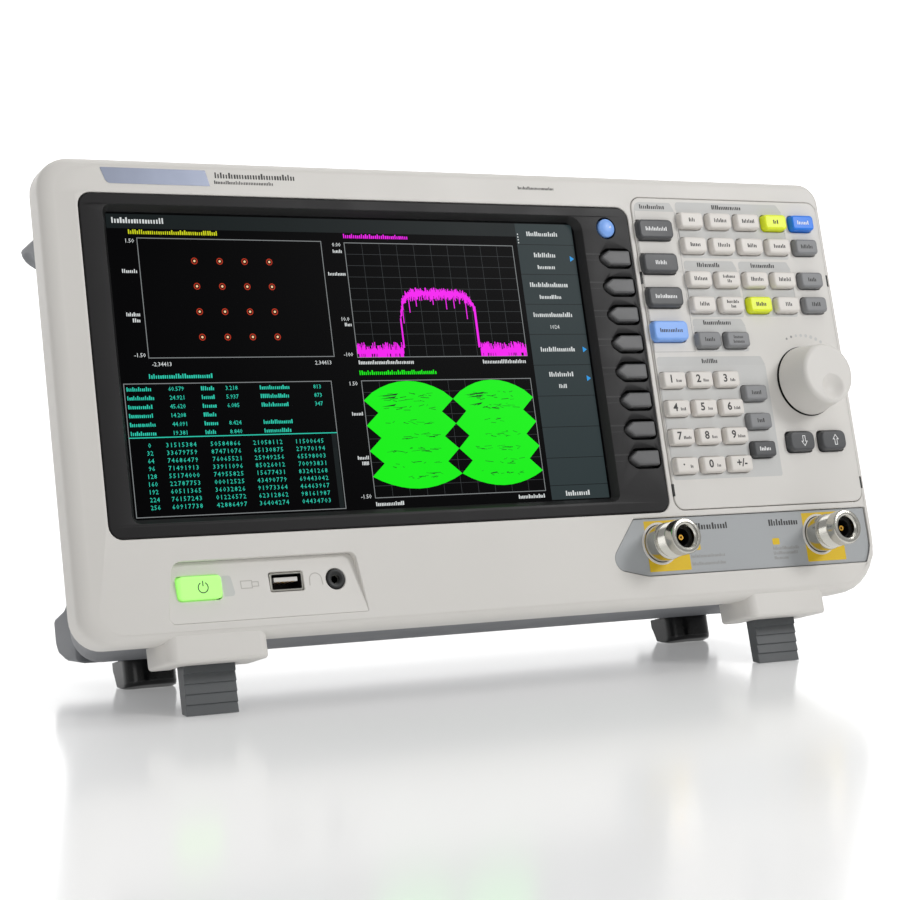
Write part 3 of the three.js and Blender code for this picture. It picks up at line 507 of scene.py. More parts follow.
pocket_box = {"x0": -160.0, "x1": -73.0, "z0": 7.0, "z1": 31.5}
POCKET_DEPTH = 3.2
POCKET_SLANT = 3.4
pocket_shape = shape(
    [(pocket_box["x0"], pocket_box["z0"] + 2), (pocket_box["x0"] + 2, pocket_box["z0"]),
     (pocket_box["x1"], pocket_box["z0"]), (pocket_box["x1"] - POCKET_SLANT, pocket_box["z1"]),
     (pocket_box["x0"] + POCKET_SLANT, pocket_box["z1"])], [0.6, 0.6, 0.8, 3.0, 4.5])
band_shape = shape(
    [(band_box.x0 + 13, band_box.z1), (band_box.x0, band_box.z0 + 9), (band_box.x0 + 2, band_box.z0 + 3.5),
     (band_box.x0 + 17, band_box.z0), (band_box.x1, band_box.z0), (band_box.x1, band_box.z1)],
    [1.5, 5, 5, 12, 4.5, 0.8])


def bezel():
    form = Form()
    face = case_ring(EDGE, SIDE_ROUND + FACET, SIDE_ROUND)
    crease = case_ring(EDGE, SIDE_ROUND, SIDE_ROUND)
    drop = [FACET_SLOPE * math.hypot(p[0] - q[0], p[1] - q[1]) for p, q in zip(face, crease)]
    rings = [form.points(face, 0)]
    steps = 8
    for k in range(steps + 1):
        a = math.pi / 2 * k / steps
        left = 1 - math.sin(a)
        ring = form.points(case_ring(EDGE * left, SIDE_ROUND * left, SIDE_ROUND * left), 0)
        for i, fall in zip(ring, drop):
            form.verts[i].y = fall + (EDGE_DEPTH - fall) * (1 - math.cos(a))
        rings.append(ring)
    for y, inset in ((SEAM - 0.5, 0), (SEAM, 0.5), (SEAM, 2.6), (5.5, 2.6)):
        rings.append(form.points(case_ring(inset, inset, inset), y))
    rings.append(form.points(case_ring(EDGE, SIDE_ROUND + FACET, SIDE_ROUND), 3.0))
    for a, b in zip(rings, rings[1:]):
        form.strip(a, b, 0)
    lip = [(y, -grow) for y, grow in rounded(0, 0.5, 3.0, 0, 3)]
    holes = [
        rect(frame_box.x0 - GAP, frame_box.x1 + GAP, frame_box.z0 - GAP, frame_box.z1 + GAP, 5.8),
        rect(panel_box.x0 - GAP, panel_box.x1 + GAP, panel_box.z0 - GAP, panel_box.z1 + GAP, 5.3),
        lambda grow=0.0: band_shape(grow + GAP),
        pocket_shape,
    ]
    walls = [form.wall(hole, lip, 0) for hole in holes]
    form.cap([rings[0]] + [first for first, _ in walls], 0)
    form.cap([rings[-1]] + [last for _, last in walls], 0)
    piece("bezel_shell", form, [OFF_WHITE], "case", ["front_bezel"], angle=50)


power_box = case_box("power_key")
usb_box = case_box("usb_port")
jack_points = case_points("headphone_jack")
jack_front = Box([p for p in jack_points if p.y < min(q.y for q in jack_points) + 2])
KEY_FLANGE = 0.7
power_w, power_h = power_box.w - 2 * KEY_FLANGE, power_box.h - 2 * KEY_FLANGE


def port_recess():
    """The recess's floor slopes: deepest under its top edge, and level with the bezel at its foot."""
    form = Form()
    power = rect(power_box.cx - power_w / 2 - 0.35, power_box.cx + power_w / 2 + 0.35,
                 power_box.cz - power_h / 2 - 0.35, power_box.cz + power_h / 2 + 0.35, 1.6)
    usb = rect(usb_box.x0 - GAP, usb_box.x1 + GAP, usb_box.z0 - GAP, usb_box.z1 + GAP, 0.8)
    jack = disc(jack_front.cx, jack_front.cz, jack_front.w / 2 + GAP)
    form.plate(lambda grow=0.0: pocket_shape(grow - 0.02), [(0, 0), (1.6, 0)], [power, usb, jack],
               [(0, -0.3), (0.3, 0), (1.6, 0)])
    # A pale grey patch to the right of the power key: painted shadow of the proud key on the recess floor.
    key_shadow_patch = [(power_box.x1 + 0.4, power_box.z0 + 1.4), (power_box.x1 + 5.4, power_box.z0 + 1.4),
             (power_box.x1 + 4.2, power_box.z1 - 1), (power_box.x1 + 0.4, power_box.z1 - 1)]
    form.print_on(outline(key_shadow_patch, [0.3, 1.4, 1.4, 0.3]), 0, 2, 0.03)
    plug_x, plug_z = power_box.x1 + 11.8, power_box.cz + 0.3
    form.line([(plug_x - 3.6, plug_z - 1.5), (plug_x + 1.2, plug_z - 1.5), (plug_x + 1.2, plug_z + 1.5),
               (plug_x - 3.6, plug_z + 1.5)], 0.35, -0.05, 1, closed=True)
    form.line([(plug_x + 1.2, plug_z - 0.9), (plug_x + 4, plug_z - 0.9), (plug_x + 4, plug_z + 0.9),
               (plug_x + 1.2, plug_z + 0.9)], 0.35, -0.05, 1)
    arc_x, arc_z = (usb_box.x1 + jack_front.x0) / 2 + 0.4, jack_front.cz + 0.4
    arc = [(arc_x + 2.7 * math.cos(t),
            arc_z + 2.6 * math.sin(t)) for t in [math.pi * k / 12 for k in range(13)]]
    form.line([(arc_x + 2.9, arc_z - 2.4)] + arc + [(arc_x - 2.9, arc_z - 2.4)], 0.4, -0.05, 1)
    for v in form.verts:
        up = (v.z - pocket_box["z0"]) / (pocket_box["z1"] - pocket_box["z0"])
        v.y += 0.12 + (POCKET_DEPTH - 0.12) * max(0, min(1, up))
    piece("port_recess", form, [OFF_WHITE, INK_FAINT, PALE_PRINT_AND_KEY_SHADOW], "case")


def maker_plate():
    """A plain foil plate, and two lines of strokes that say nothing, on the bezel's top edge."""
    form = Form()
    x0, x1, z0, z1 = -HALF + 25.8, -HALF + 72, CASE_H - 11.4, CASE_H - 4.7
    corners = [(x0 + 2.4, z0), (x1 + 1.4, z0), (x1 - 0.2, z1), (x0, z1)]
    form.print_on(outline(corners, [2.6, 0.2, 0.2, 0.3]), 0, 0, 0.12)
    piece("blank_badge", form, [BADGE], "case")
    form = Form()
    form.dashes(x1 + 22.5, CASE_H - 6.6, 37, 2.5, 0, 0, 4)
    form.dashes(x1 + 17, CASE_H - 9.6, 27, 1.5, 0, 0, 5)
    form.dashes(HALF - 161, CASE_H - 7.6, 19, 1.4, 0, 0, 6)
    piece("bezel_print", form, [INK_DARK], "case")


bezel()
port_recess()
maker_plate()

# ---------------------------------------------------------------- display and its frame

screen_z0, screen_z1 = screen_node.z0 + 13.7 / 2, screen_node.z1 - 13.7 / 2
screen_x0, screen_x1 = screen_node.x0 + 12.3 / 2, screen_node.x1 - 12.3 / 2
SCREEN = {"x0": screen_x0, "x1": screen_x1, "z0": screen_z0, "z1": screen_z1, "y": screen_node.y0}
FLARE = 2.6
soft_boxes = [case_box("soft_key_%d" % (i + 1)) for i in range(8)]
SOFT_FLANGE = 1.2
SOFT_POINT = 5.0


def soft_shape(box, radius=1.0):
    x0, x1 = box.x0 + SOFT_FLANGE, box.x1 - SOFT_FLANGE
    z0, z1 = box.z0 + SOFT_FLANGE, box.z1 - SOFT_FLANGE
    tip = x0 + 1.2
    corners = [(x1, z0), (x1, z1), (tip + SOFT_POINT, z1), (tip, box.cz), (tip + SOFT_POINT, z0)]
    return shape(corners, [radius, radius, radius * 1.6, radius * 1.2, radius * 1.6])


round_box = case_box("round_key")
ROUND_R = round_box.w / 2 - 1


def display_frame():
    form = Form()
    outer = rect(frame_box.x0, frame_box.x1, frame_box.z0, frame_box.z1, 5.5)
    back = frame_box.y1
    opening = rect(SCREEN["x0"] - 0.4, SCREEN["x1"] + 0.4, SCREEN["z0"] - 0.4, SCREEN["z1"] + 0.4,
                   [1.2, 1.2, 4.2, 1.2])
    ends = [form.wall(outer, rounded(0, 0.5, back, 0, 3), 0)]
    # The walls of the screen's opening, the soft keys' wells and the round key's gap are near-black: painted
    # shade in the gaps.
    ends.append(form.wall(opening, [(0, FLARE), (0.35, FLARE - 0.3), (back - 0.6, 0.3), (back, 0.3)], 1))
    for box in soft_boxes:
        ends.append(form.wall(soft_shape(box, 1.6), [(0, 1.45), (0.35, 1.15), (back, 1.15)], 1))
    key_gap = disc(round_box.cx, round_box.cz, ROUND_R)
    ends.append(form.wall(key_gap, [(0, 0.9), (0.4, 0.6), (back, 0.6)], 1))
    form.cap([first for first, _ in ends], 0)
    form.cap([last for _, last in ends], 0)
    for box in soft_boxes:
        left, right = SCREEN["x1"] + FLARE + 0.2, box.x0 + SOFT_FLANGE + 1
        form.line([(left, box.cz + 1.9), (right + 1.2, box.cz + 1.9)], 0.55, -0.04, 1)
        form.line([(left, box.cz - 0.9), (right, box.cz - 0.9)], 0.22, -0.04, 1)
    piece("display_surround", form, [DARK_FRAME, BLACK_PRINT_AND_GAP_SHADE], "case",
          ["display_frame"], angle=50)


display_frame()

# ---------------------------------------------------------------- control panel

PANEL_Y = panel_box.y0


def function_key_boxes():
    """The caps of the mat's keys, by rows from the top."""
    points = [p for p in case_points("function_key_mat") if p.y < PANEL_Y]
    xs = group_edges(sorted(set(round(p.x, 2) for p in points)))
    zs = group_edges(sorted(set(round(p.z, 2) for p in points)))
    found = []
    for z0, z1 in sorted(zs, reverse=True):
        for x0, x1 in xs:
            if any(x0 - 0.1 <= p.x <= x1 + 0.1 and z0 - 0.1 <= p.z <= z1 + 0.1 for p in points):
                found.append((x0, x1, z0, z1))
    return found


def group_edges(values):
    """Pairs a key's left and right edges, or its lower and upper ones: four values to a key."""
    return [(values[i], values[i + 3]) for i in range(0, len(values), 4)]


function_keys = function_key_boxes()
KEY_NAMES = ["frequency_key", "span_key", "amplitude_key", "auto_tune_key"]
PAD_NAMES = ["number_key_" + n for n in ("1", "2", "3", "4", "5", "6", "7", "8", "9", "point", "0", "sign")]
EDIT_NAMES = ["back_key", "escape_key", "enter_key"]
ARROW_NAMES = ["down_arrow_key", "up_arrow_key"]


def cap_of(node):
    box = case_box(node)
    return (box.x0 + KEY_FLANGE, box.x1 - KEY_FLANGE, box.z0 + KEY_FLANGE, box.z1 - KEY_FLANGE, box.y0,
            box.y1)


knob_box = case_box("tuning_knob")


def control_panel():
    form = Form()
    outer = rect(panel_box.x0, panel_box.x1, panel_box.z0, panel_box.z1, 5)
    holes = []
    for name in KEY_NAMES + PAD_NAMES + EDIT_NAMES + ARROW_NAMES:
        x0, x1, z0, z1 = cap_of(name)[:4]
        holes.append(rect(x0 - GAP, x1 + GAP, z0 - GAP, z1 + GAP, 2.1, 4))
    for x0, x1, z0, z1 in function_keys:
        holes.append(rect(x0 - GAP, x1 + GAP, z0 - GAP, z1 + GAP, 2.1, 4))
    holes.append(disc(knob_box.cx, knob_box.cz, 5))
    form.plate(outer, rounded(PANEL_Y, 0.4, panel_box.y1, 0, 3), holes,
               [(PANEL_Y, -0.15), (PANEL_Y + 0.15, 0), (panel_box.y1, 0)])
    piece("keypad_panel", form, [OFF_WHITE], "case", ["control_panel"], angle=50)


control_panel()


# ---------------------------------------------------------------- print on the panel


def group(form, x0, x1, header, foot, cut_keys, text, slant=2.0):
    """A printed group: a header bar with strokes for its name, and a pale field holed for its keys."""
    low, high = header
    bar = outline([(x0, low), (x1, low), (x1 - slant, high), (x0, high)], [0.1, 0.1, 1.2, 1.6], 0, 4)
    form.print_on(bar, PANEL_Y, 1, 0.05)
    front, back = PANEL_Y - 0.03, PANEL_Y + 0.1
    field = rect(x0, x1, foot, low, 1.0, 3)
    holes = [rect(a - GAP - 0.1, b + GAP + 0.1, c - GAP - 0.1, d + GAP + 0.1, 2.2, 4) for a, b, c,
             d in cut_keys]
    form.plate(field, [(front, 0), (back, 0)], holes, [(front, 0), (back, 0)], 0)
    form.dashes((x0 + x1 - slant) / 2, (low + high) / 2, text, 2.1, PANEL_Y - 0.05, 2, round(x0 * 7 + high))


def panel_print():
    form = Form()
    x0, x1 = panel_box.x0 + 24.5, function_keys[3][1]
    mid = (function_keys[11][1] + function_keys[12][0]) / 2
    keys = function_keys
    group(form, x0, x1, (181.9, 185.9), 159, keys[0:4] + keys[5:9], 17, 3)
    group(form, x0, mid - 0.6, (153.9, 157.7), 130.7, keys[10:12] + keys[15:17], 13)
    group(form, mid + 0.6, x1, (153.9, 157.7), 131, keys[12:14] + keys[17:19], 14)
    group(form, x0, mid - 0.6, (126.4, 130), 114.4, keys[20:22], 16)
    pad = [cap_of(n)[:4] for n in PAD_NAMES]
    edge = max(cap_of(n)[1] for n in EDIT_NAMES) + 3.4
    edits = [cap_of(n)[:4] for n in EDIT_NAMES]
    group(form, panel_box.x0 + 1.4, edge, (107.9, 112.1), 55.4, pad + edits, 9, 2)
    controls = [cap_of(n) for n in KEY_NAMES]
    left, right = panel_box.x0 + 1.2, x0 - 1.0
    bar = outline([(left, 181.2), (right, 181.2), (right - 2, 185.4), (left, 185.4)], [0.1, 0.1, 1.2, 3.4],
                  0, 4)
    form.print_on(bar, PANEL_Y, 1, 0.05)
    form.dashes((left + right) / 2 - 1, 183.3, 14, 2.1, PANEL_Y - 0.05, 2, 77)
    foot = controls[-1][2] - 4.6
    form.line([(left, 181), (left, foot), (right, foot), (right, 181)], 0.16, PANEL_Y - 0.03, 3)
    arc_x, arc_z = knob_box.cx, knob_box.cz
    for k in range(8):
        angle = math.radians(112 - 7.6 * k)
        reach = 22.2
        dot = disc(arc_x + 1 + reach * math.cos(angle), arc_z + reach * math.sin(angle),
                   0.55 + 0.07 * min(k, 10 - k), 14)
        form.print_on(dot(), PANEL_Y, 3 if k < 2 else 0, 0.04)
    piece("keypad_print", form, [PALE_PRINT_AND_KEY_SHADOW, INK_HEADER, INK_DARK, LINE_GREY], "case")
    form = Form()
    # Black bars at the panel's sides stand in for its latch slots: painted shade where the slots would look
    # dark.
    for x, z in ((panel_box.x0, 149.3), (panel_box.x1, 148.7), (panel_box.x0 + 0.2, 50.9),
                 (panel_box.x1 + 0.2, 50.7)):
        form.slab(rect(x - 0.5, x + 0.5, z - 2.8, z + 2.8, 0.1, 1), PANEL_Y - 0.02, 1.2)
    piece("panel_slot_shade_bars", form, [BLACK_PRINT_AND_GAP_SHADE], "case")


panel_print()

# ---------------------------------------------------------------- keys

CAP_EDGE, CAP_DRAFT, CAP_CORNER = 0.95, 0.28, 2.0


def cap_path(front, back, edge=CAP_EDGE, draft=CAP_DRAFT):
    """A moulded cap: rounded front edges, and walls that widen slightly down to the panel."""
    path = rounded(front, edge, front + edge + 0.1, -draft, 4)
    return path + [(-0.2, 0), (back, 0)]


def key_cap(form, box, front, back, look=0, radius=CAP_CORNER, flange=None):
    x0, x1, z0, z1 = box
    ring = rect(x0, x1, z0, z1, radius, 5)
    path = cap_path(front, flange[0] if flange else back)
    if flange:
        path += [(flange[0], KEY_FLANGE), (flange[1], KEY_FLANGE), (flange[1], 0), (back, 0)]
    form.plate(ring, path, look=look)


FACE_LIFT = 0.02


def label(form, box, front, widths, look, seed, shift=0.0):
    x0, x1, z0, z1 = box
    middle = (x0 + x1) / 2 + shift
    lines = len(widths)
    size = 1.9 if lines == 1 else 1.5
    for k, width in enumerate(widths):
        z = (z0 + z1) / 2 + ((lines - 1) / 2 - k) * 2.2
        form.dashes(middle, z, width, size, front + FACE_LIFT, look, seed + k)


def moving_key(name, looks, widths=None, seed=0, extra=None, radius=CAP_CORNER):
    form = Form()
    x0, x1, z0, z1, front, back = cap_of(name)
    flange = (3.4, 5.8)
    key_cap(form, (x0, x1, z0, z1), front, back, 0, radius, flange)
    if widths:
        label(form, (x0, x1, z0, z1), front, widths, 1, seed)
    if extra:
        extra(form, (x0, x1, z0, z1), front)
    piece(name + "_cap", form, looks, name, [name])


def digit(text, letters, seed):
    def draw(form, box, front):
        x0, x1, z0, z1 = box
        cx, cz = (x0 + x1) / 2, (z0 + z1) / 2 + 0.2
        if text:
            form.glyph(text, cx - (2.1 if letters else 0), cz, 3.5, front + FACE_LIFT, 1, weight=0.12)
        if letters:
            form.dashes(cx + 2.1, cz - 0.9, letters, 1.4, front + FACE_LIFT, 1, seed)
    return draw


def arrow(up):
    def draw(form, box, front):
        x0, x1, z0, z1 = box
        cx, cz = (x0 + x1) / 2 + 0.8, (z0 + z1) / 2
        s = 1 if up else -1
        points = [(cx, cz + 2.4 * s), (cx + 1.5, cz + 0.3 * s), (cx + 0.65, cz + 0.3 * s),
                  (cx + 0.65, cz - 2.3 * s),
                  (cx - 0.65, cz - 2.3 * s), (cx - 0.65, cz + 0.3 * s), (cx - 1.5, cz + 0.3 * s)]
        form.line(points, 0.34, front + FACE_LIFT - 0.05, 1, closed=True)
    return draw


for i, name in enumerate(KEY_NAMES):
    look, slot_name = ((KEY_BLUE, "blue_key_plastic") if i == 3 else (KEY_DARK, "dark_key_plastic"))
    moving_key(name, [look, INK_DARK if i == 3 else INK_WHITE], [[12.0], [6.4], [12.0], [12.6]][i], 10 + i,
               radius=2.6)

letters = [3.2, 3.2, 3.0, 3.0, 2.6, 3.6, 4.2, 3.0, 4.2, 0, 2.2, 0]
for i, name in enumerate(PAD_NAMES):
    text = name.rsplit("_", 1)[1]
    if text == "point":
        draw = digit(".", 1.6, 60)
    elif text == "sign":
        draw = digit("+/-", 0, 61)
    else:
        draw = digit(text, letters[i], 62 + i)
    moving_key(name, [KEY_WHITE, INK_DARK], extra=draw, radius=1.5)

for i, name in enumerate(EDIT_NAMES):
    dark = i == 2
    moving_key(name, [KEY_DARK if dark else KEY_MID, INK_WHITE if dark else INK_DARK],
               [[5.6], [4.2], [6.4]][i], 90 + i,
               radius=1.6)

for i, name in enumerate(ARROW_NAMES):
    moving_key(name, [KEY_DARK, INK_WHITE], extra=arrow(i == 1), radius=3.2)


def function_caps():
    white, lime, strong, mid = [], [], [], []
    looks = {3: lime, 4: strong, 9: mid, 14: mid, 17: lime, 19: mid, 20: mid, 21: mid}
    for i, box in enumerate(function_keys):
        looks.get(i, white).append((i, box))
    front = PANEL_Y + 0.3 - 3.6
    widths = {0: [3.6], 1: [7.2], 2: [7.4], 3: [3.2], 4: [7.0], 5: [6.0], 6: [7.0], 7: [5.4], 8: [7.0],
              9: [7.2],
              10: [7.4], 11: [7.0, 2.6], 12: [7.4], 13: [7.2], 14: [5.0], 15: [5.4], 16: [7.0, 2.8],
              17: [6.0],
              18: [4.0], 19: [5.2], 20: [5.8], 21: [5.6, 6.4]}
    groups = [("white", white, KEY_WHITE, INK_DARK), ("lime", lime, KEY_LIME, INK_DARK),
              ("blue", strong, KEY_STRONG, INK_WHITE), ("grey", mid, KEY_MID, INK_DARK)]
    for k, (colour, members, look, ink) in enumerate(groups):
        form = Form()
        for i, box in members:
            key_cap(form, box, front, 8.2, 0)
            label(form, box, front, widths[i], 1, 120 + 3 * i)
        hidden = ["function_key_mat"] if k == 0 else []
        piece("function_keys_" + colour, form, [look, ink], "case", hidden)


function_caps()


def soft_keys():
    for i, box in enumerate(soft_boxes):
        form = Form()
        ring = soft_shape(box)
        front = box.y0
        path = rounded(front, 0.9, front + 1.1, -0.15, 4) + [(4.5, 0)]
        form.plate(ring, path, look=0)
        form.plate(ring, [(4.5, SOFT_FLANGE - 0.2), (6.8, SOFT_FLANGE - 0.2), (6.8, -0.5), (box.y1, -0.5)],
                   look=1)
        name = "soft_key_%d" % (i + 1)
        piece(name + "_cap", form, [SOFT_GREY, BLACK_PLASTIC_AND_SLOT_SHADE], name, [name])


def round_key():
    form = Form()
    x, z, front = round_box.cx, round_box.cz, round_box.y0
    profile = [(0, front)]
    steps = 8
    for k in range(1, steps + 1):
        a = math.pi / 2 * k / steps
        profile.append((ROUND_R * math.sin(a) ** 0.8, front + 1.5 * (1 - math.cos(a))))
    profile += [(ROUND_R, 4.5), (ROUND_R + 1, 4.5), (ROUND_R + 1, round_box.y1), (0, round_box.y1)]
    form.lathe(x, z, profile)
    form.dashes(x + 0.6, z + 0.2, 2.6, 1.0, front + 0.12, 1, 200, 0.1)
    piece("round_key_cap", form, [KEY_BLUE, INK_WHITE], "round_key", ["round_key"])


def power_key():
    form = Form()
    x0, x1 = power_box.cx - power_w / 2, power_box.cx + power_w / 2
    z0, z1 = power_box.cz - power_h / 2, power_box.cz + power_h / 2
    ring = rect(x0, x1, z0, z1, 1.8, 5)
    front = power_box.y0
    form.plate(ring, rounded(front, 0.8, front + 1.0, -0.1, 4) + [(8.3, 0), (8.3, 0.7), (10.7, 0.7),
                                                                  (10.7, 0),
                                                                 (power_box.y1, 0)], look=0)
    cx, cz = power_box.cx + 0.9, power_box.cz - 0.1
    turns = [math.radians(118 + 304 * k / 22) for k in range(23)]
    form.line([(cx + 2.1 * math.cos(t), cz + 2.1 * math.sin(t)) for t in turns], 0.42, front - 0.03, 1)
    form.line([(cx, cz + 2.7), (cx, cz + 0.5)], 0.42, front - 0.03, 1)
    piece("power_key_cap", form, [LIT_GREEN, INK_DARK], "power_key", ["power_key"])


soft_keys()
round_key()
power_key()

# ---------------------------------------------------------------- knob


def tuning_knob():
    form = Form()
    x, z = knob_box.cx, knob_box.cz
    base, front, back = knob_box.w / 2, knob_box.y0, knob_box.y1
    tip, edge = base - 2.1, 2.2
    profile = [(tip - edge, front)]
    radius = tip - edge
    while radius > 0.7:
        radius -= 0.55
        profile.append((max(radius, 0), front))
    profile[-1] = (0, front)
    profile.reverse()
    for k in range(1, 9):
        a = math.pi / 2 * k / 8
        profile.append((tip - edge + edge * math.sin(a), front + edge * (1 - math.cos(a))))
    profile += [(base - 0.35, back - 1.2), (base, back - 0.7), (base, back - 0.2), (base - 0.2, back),
                (3.2, back)]
    profile += [(3.2, back - 12.5), (0, back - 12.5)]
    form.lathe(x, z, profile, 0, 96)
    dimple_x, dimple_z, reach, depth = x + 1.2, z - 6.6, 6.3, 2.6
    for v in form.verts:
        away = math.hypot(v.x - dimple_x, v.z - dimple_z) / reach
        if v.y < front + 0.6 and away < 1:
            v.y += depth * (1 - away * away) ** 1.25
    piece("tuning_knob_cap", form, [OFF_WHITE], "tuning_knob", ["tuning_knob"], angle=60)
    form = Form()
    form.lathe(x, z, [(base - 1.0, PANEL_Y - 0.05), (base + 0.35, PANEL_Y - 0.05),
                      (base + 0.35, PANEL_Y + 0.1),
                      (base - 1.0, PANEL_Y + 0.1), (base - 1.0, PANEL_Y - 0.05)], 0, 96)
    piece("knob_shadow_ring", form, [BLACK_PRINT_AND_GAP_SHADE], "case")


tuning_knob()

# ---------------------------------------------------------------- RF sockets


def socket_band():
    form = Form()
    sockets = [case_box("rf_output_socket"), case_box("rf_input_socket")]
    holes = [disc(b.cx, b.cz, 8.55, 56) for b in sockets]
    form.plate(band_shape, rounded(band_box.y0, 0.3, band_box.y1, 0, 2), holes,
               [(band_box.y0, 0), (band_box.y1, 0)])
    piece("socket_plate", form, [BAND_GREY], "case", ["socket_band"], angle=50)
    form = Form()
    y = band_box.y0
    for b, shift in ((sockets[0], 3.8), (sockets[1], 2.4)):
        cx, cz = b.cx + shift, b.cz - 1.1
        square = rect(cx - 11.1, cx + 11.1, cz - 11.3, cz + 11.3, 0.3, 2)
        form.plate(square, [(y - 0.05, 0), (y + 0.1, 0)], [disc(b.cx, b.cz, 8.75, 56)],
                   [(y - 0.05, 0), (y + 0.1, 0)])
    left, right = sockets[0].cx, sockets[1].cx
    form.dashes(left + 28.5, 34.2, 19.5, 2.9, y, 1, 301, 0.04)
    form.dashes(right - 19.5, 34.1, 17, 2.9, y, 1, 302, 0.04)
    for cx, cz in ((left + 19.4, 25.2), (right - 25.4, 25.4)):
        form.print_on(rect(cx - 2, cx + 2, cz - 1.5, cz + 1.5, 0.6, 3)(), y, 0, 0.05)
    for x, z, w, seed in ((left + 25, 21, 18.5, 311), (left + 25, 17.6, 18.5, 312),
                          (right - 20, 22.3, 15, 313),
                          (right - 20.6, 20.1, 14, 314), (right - 23.5, 17.9, 8, 315)):
        form.dashes(x, z, w, 1.5, y, 2, seed, 0.03)
    piece("socket_print", form, [INK_YELLOW, INK_DARK, LINE_GREY], "case")


def rf_socket(node, name):
    b = case_box(node)
    x, z, rim, back = b.cx, b.cz, b.y0, b.y1
    form = Form()
    outer, root, bore = 7.9, 7.35, 4.7
    face = band_box.y0
    profile = [(0, rim + 12.5), (bore, rim + 12.5), (bore, rim + 1.2), (bore + 0.5, rim + 0.5),
               (bore + 1.1, rim + 0.3)]
    profile += [(bore + 1.2, rim + 0.05), (outer - 1.0, rim), (outer - 0.35, rim + 0.25), (outer, rim + 0.9)]
    profile += [(outer, rim + 5.2), (outer - 0.25, rim + 5.5)]
    at = rim + 5.8
    while at < rim + 11.6:
        profile += [(outer - 0.15, at), (root, at + 0.45)]
        at += 0.9
    profile += [(root - 0.1, at), (root - 0.1, at + 0.8), (outer + 0.1, at + 1.1), (outer + 0.3, at + 1.4)]
    profile += [(outer + 0.3, face + 2.2), (11.2, face + 3.2), (11.2, 6.6), (5.4, 6.8), (5.4, back),
                (0, back)]
    form.lathe(x, z, profile, 0, 72)
    form.lathe(x, z, [(8.55, face - 0.35), (9.35, face - 0.3), (9.5, face - 0.1), (9.5, face + 0.15),
                      (8.5, face + 0.15),
                      (8.45, face - 0.2), (8.55, face - 0.35)], 3, 72)
    form.lathe(x, z, [(0, rim + 12.2), (4.6, rim + 12.2), (4.6, rim + 4.4), (3.9, rim + 4.2),
                      (3.7, rim + 12.0), (0, rim + 12.0)],
               2, 48)
    form.lathe(x, z, [(0.55, rim + 4.6), (1.2, rim + 4.6), (1.45, rim + 5.2), (1.45, rim + 12.3),
                      (0.55, rim + 12.3),
                      (0.55, rim + 4.6)], 1, 28)
    piece(name, form, [NICKEL, GOLD, BLACK_PLASTIC_AND_SLOT_SHADE, OFF_WHITE], "case", [node], angle=34)


socket_band()
rf_socket("rf_output_socket", "rf_output_connector")
rf_socket("rf_input_socket", "rf_input_connector")


def usb_port():
    form = Form()
    b = usb_box
    y = b.y0
    outer = rect(b.x0, b.x1, b.z0, b.z1, 0.7, 4)
    inner = rect(b.x0 + 0.8, b.x1 - 0.8, b.z0 + 0.8, b.z1 - 0.8, 0.4, 4)
    # The mouth's inner walls and its floor are near-black: painted shade inside the socket.
    ends = form.wall(outer, [(y, -0.15), (y + 0.15, 0), (b.y1, 0)],
                     0), form.wall(inner, [(y, 0.15), (y + 0.2, 0), (b.y1 - 3, 0)], 1)
    form.cap([ends[0][0], ends[1][0]], 0)
    form.cap([ends[0][1]], 0)
    form.cap([ends[1][1]], 1)
    tongue = rect(b.x0 + 1.9, b.x1 - 1.9, b.cz + 0.1, b.cz + 1.9, 0.2, 2)
    form.plate(tongue, rounded(y + 0.8, 0.25, b.y1 - 2.5, 0, 2), look=2)
    for k in range(4):
        x = b.cx + (k - 1.5) * 2.2
        form.slab(rect(x - 0.5, x + 0.5, b.cz - 0.05, b.cz + 0.15, 0.02, 1)(), y + 1.4, y + 8, 3)
    piece("usb_socket", form, [NICKEL, BLACK_PRINT_AND_GAP_SHADE, OFF_WHITE, GOLD], "case",
          ["usb_port"])


def headphone_jack():
    form = Form()
    x, z = jack_front.cx, jack_front.cz
    full = case_box("headphone_jack")
    y, r, bore = full.y0, jack_front.w / 2, 1.85
    profile = [(0, y + 12), (bore, y + 12), (bore, y + 0.5), (bore + 0.5, y + 0.15), (r - 0.7, y),
               (r - 0.15, y + 0.2), (r, y + 0.7)]
    profile += [(r, 8.4), (6, 8.4), (6, full.y1), (0, full.y1)]
    form.lathe(x, z, profile, 0, 48)
    form.lathe(x, z, [(bore - 0.25, y + 2.0), (bore - 0.02, y + 2.0), (bore - 0.02, y + 3.2),
                      (bore - 0.25, y + 3.2),
                      (bore - 0.25, y + 2.0)], 1, 32)
    piece("headphone_socket", form, [BLACK_PLASTIC_AND_SLOT_SHADE, NICKEL], "case", ["headphone_jack"])


usb_port()
headphone_jack()
# ---------------------------------------------------------------- the picture on the display
# Places on the screen are millimetres from its middle.

SCREEN_X, SCREEN_Z = (SCREEN["x0"] + SCREEN["x1"]) / 2, (SCREEN["z0"] + SCREEN["z1"]) / 2
SCREEN_W, SCREEN_H = (SCREEN["x1"] - SCREEN["x0"]) / 2, (SCREEN["z1"] - SCREEN["z0"]) / 2
MENU_LEFT = 81.6
CYAN, GREEN, MAGENTA, YELLOW, TEXT, FAINT, GRID, MENU, BAR, RING, SPOT, MARK, LINE = range(1, 14)


